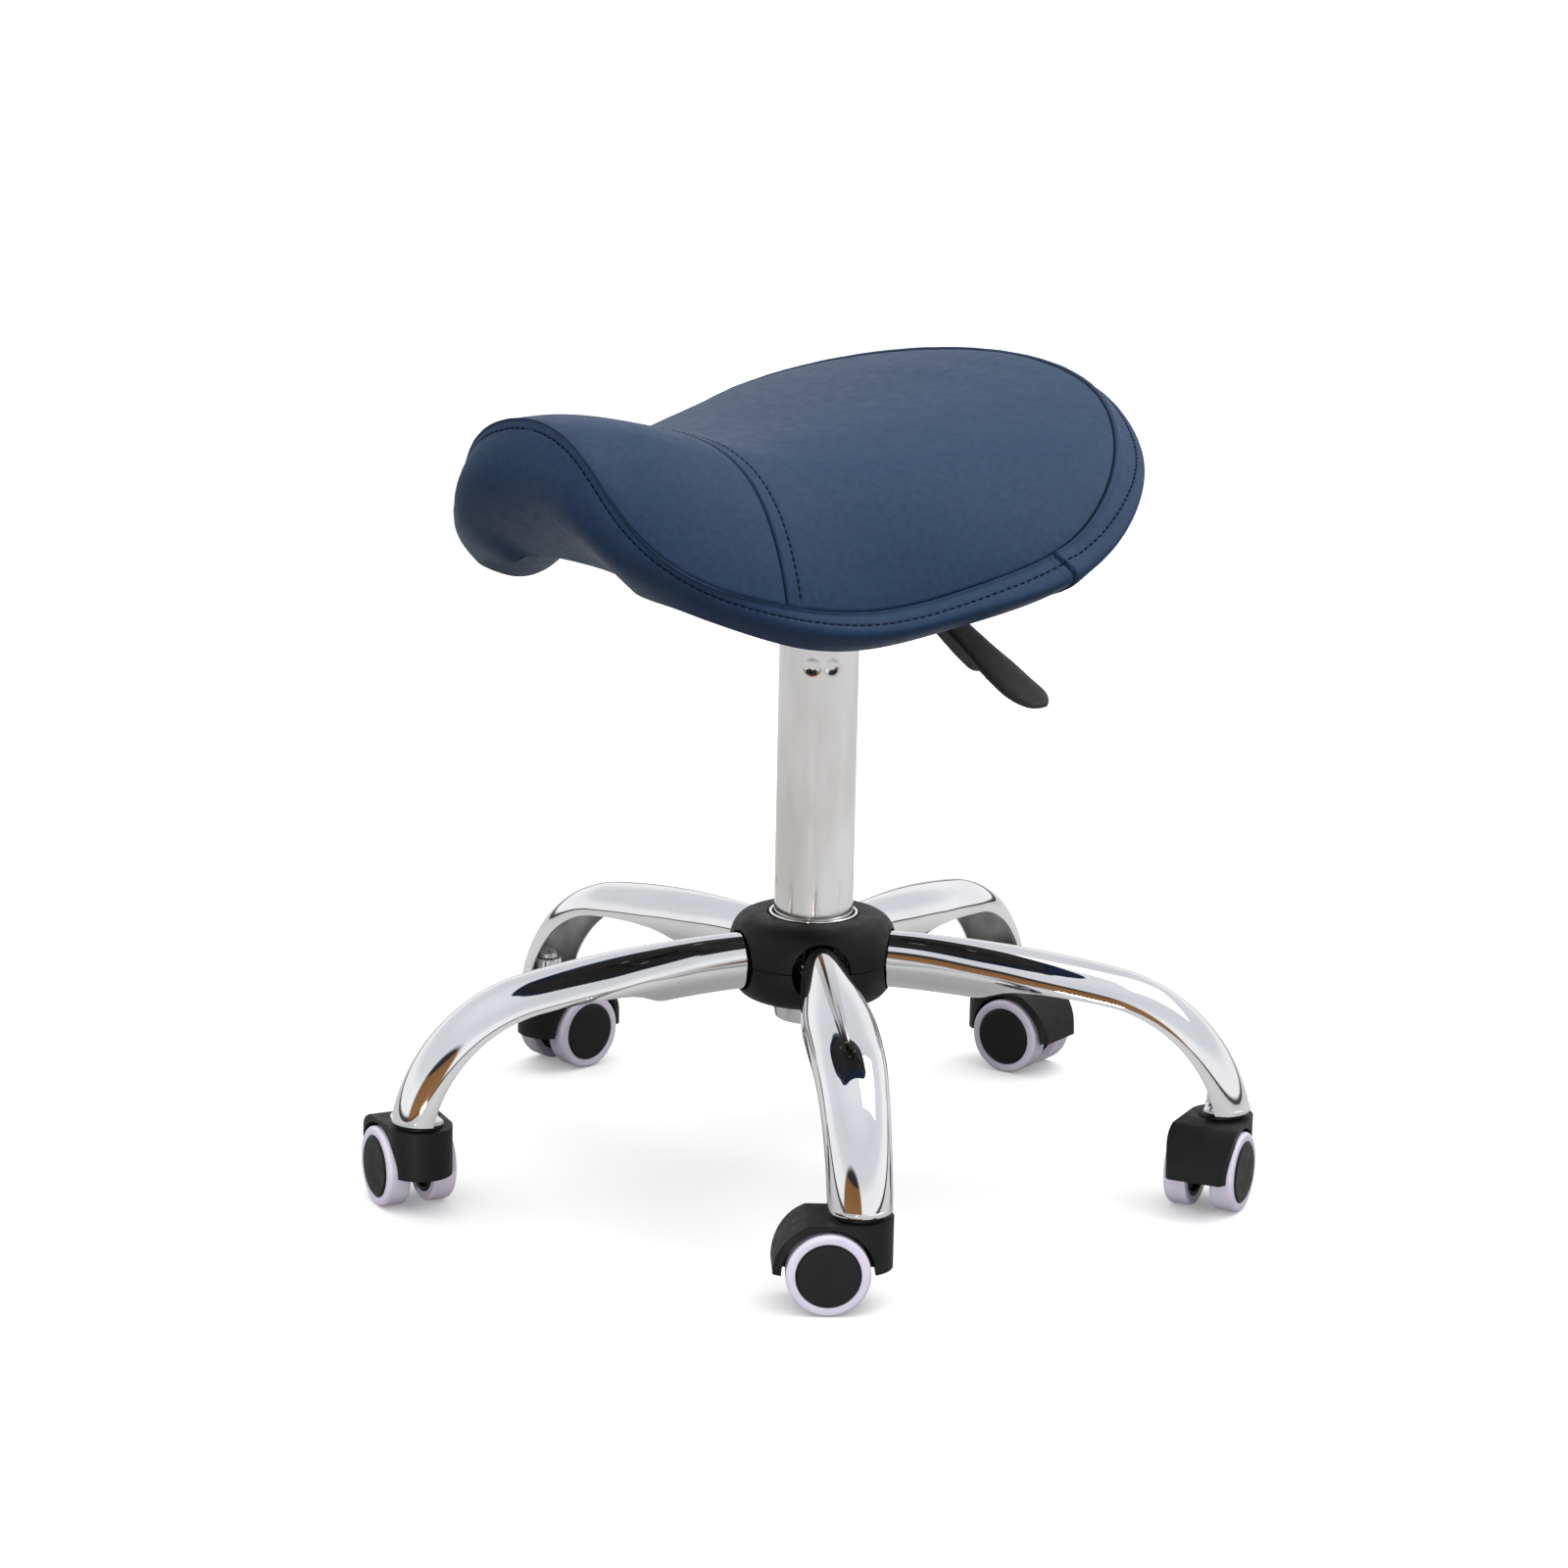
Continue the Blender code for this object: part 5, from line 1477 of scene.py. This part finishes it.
def build_world():
    """A pale studio: white to the camera and to matt surfaces, banded in mirror reflections."""
    world = bpy.data.worlds.new("studio")
    bpy.context.scene.world = world
    world.use_nodes = True
    tree = world.node_tree
    background = tree.nodes["Background"]
    place = tree.nodes.new("ShaderNodeTexCoord")
    split = tree.nodes.new("ShaderNodeSeparateXYZ")
    rays = tree.nodes.new("ShaderNodeLightPath")
    spread = tree.nodes.new("ShaderNodeMapRange")
    spread.inputs["From Min"].default_value = -1.0
    tree.links.new(place.outputs["Generated"], split.inputs["Vector"])
    tree.links.new(split.outputs["Z"], spread.inputs["Value"])

    def sky(stops):
        """Levels from straight down (0) over the horizon (0.5) to straight up (1)."""
        ramp = tree.nodes.new("ShaderNodeValToRGB")
        ramp.color_ramp.elements.remove(ramp.color_ramp.elements[0])
        for k, (position, colour) in enumerate(stops):
            stop = ramp.color_ramp.elements[0] if k == 0 else ramp.color_ramp.elements.new(position)
            stop.position = position
            stop.color = (*colour, 1.0)
        tree.links.new(spread.outputs["Result"], ramp.inputs["Fac"])
        return ramp.outputs["Color"]

    def mixed(factor, first, second):
        mix = tree.nodes.new("ShaderNodeMix")
        mix.data_type = "RGBA"
        tree.links.new(factor, mix.inputs["Factor"])
        for source, name in ((first, "A"), (second, "B")):
            if isinstance(source, tuple):
                mix.inputs[name].default_value = source
            else:
                tree.links.new(source, mix.inputs[name])
        return mix.outputs["Result"]

    matt = sky(MATT_SKY)
    ahead = tree.nodes.new("ShaderNodeVectorMath")
    ahead.operation = "DOT_PRODUCT"
    bearing = math.radians(ROOM_BEARING_DEG)
    ahead.inputs[1].default_value = (math.sin(bearing), -math.cos(bearing), 0.0)
    tree.links.new(place.outputs["Generated"], ahead.inputs[0])
    facing = tree.nodes.new("ShaderNodeMapRange")
    facing.inputs["From Min"].default_value = math.cos(math.radians(ROOM_HALF_ANGLE_DEG + 4))
    facing.inputs["From Max"].default_value = math.cos(math.radians(ROOM_HALF_ANGLE_DEG))
    tree.links.new(ahead.outputs["Value"], facing.inputs["Value"])
    mirror = mixed(facing.outputs["Result"], sky(MIRROR_SKY), sky(ROOM_SKY))
    lit = mixed(rays.outputs["Is Glossy Ray"], matt, mirror)
    shown = mixed(rays.outputs["Is Camera Ray"], lit, (1.0, 1.0, 1.0, 1.0))
    tree.links.new(shown, background.inputs["Color"])


def build_camera():
    data = bpy.data.cameras.new("camera")
    data.lens = CAMERA_LENS
    data.sensor_width = CAMERA_SENSOR
    data.clip_start = 0.05
    data.clip_end = 100.0
    camera = bpy.data.objects.new("camera", data)
    bpy.context.scene.collection.objects.link(camera)
    yaw, pitch, roll = (math.radians(v) for v in (CAMERA_YAW_DEG, CAMERA_PITCH_DEG, CAMERA_ROLL_DEG))
    forward = Vector((math.sin(yaw) * math.cos(pitch), math.cos(yaw) * math.cos(pitch), -math.sin(pitch)))
    level = Vector((math.cos(yaw), -math.sin(yaw), 0.0))
    upright = level.cross(forward)
    right = math.cos(roll) * level + math.sin(roll) * upright
    up = -math.sin(roll) * level + math.cos(roll) * upright
    axes = Matrix((right, up, -forward)).transposed().to_4x4()
    stand = Matrix.Translation((0, -CAMERA_DISTANCE, CAMERA_HEIGHT))
    turn = Matrix.Rotation(math.radians(CAMERA_AZIMUTH_DEG), 4, "Z")
    camera.matrix_world = Matrix.Translation(COLUMN) @ turn @ stand @ axes
    bpy.context.scene.camera = camera


def build_lights():
    """A large lamp from behind on the right, and a low narrow strip that lights the wheels."""
    softbox("key", CAMERA_AZIMUTH_DEG + 110, 58, 2.4, 2.0, 1.6, 16)
    softbox("low", CAMERA_AZIMUTH_DEG - 12, 1.5, 2.6, 2.6, 0.10, 0.7, aim=0.02, spread=10.0)


def main():
    stems = [Vector(JOINTS[f"caster_swivel_{k}"]["pos_m"]) for k in range(1, 6)]
    for stem in stems:
        stem.z = 0.0
    repaint()
    build_base(stems)
    build_column()
    build_casters(stems)
    build_seat()
    build_mechanism()
    build_stage()
    build_world()
    build_lights()
    build_camera()
    bpy.context.scene.view_settings.view_transform = "Standard"


main()
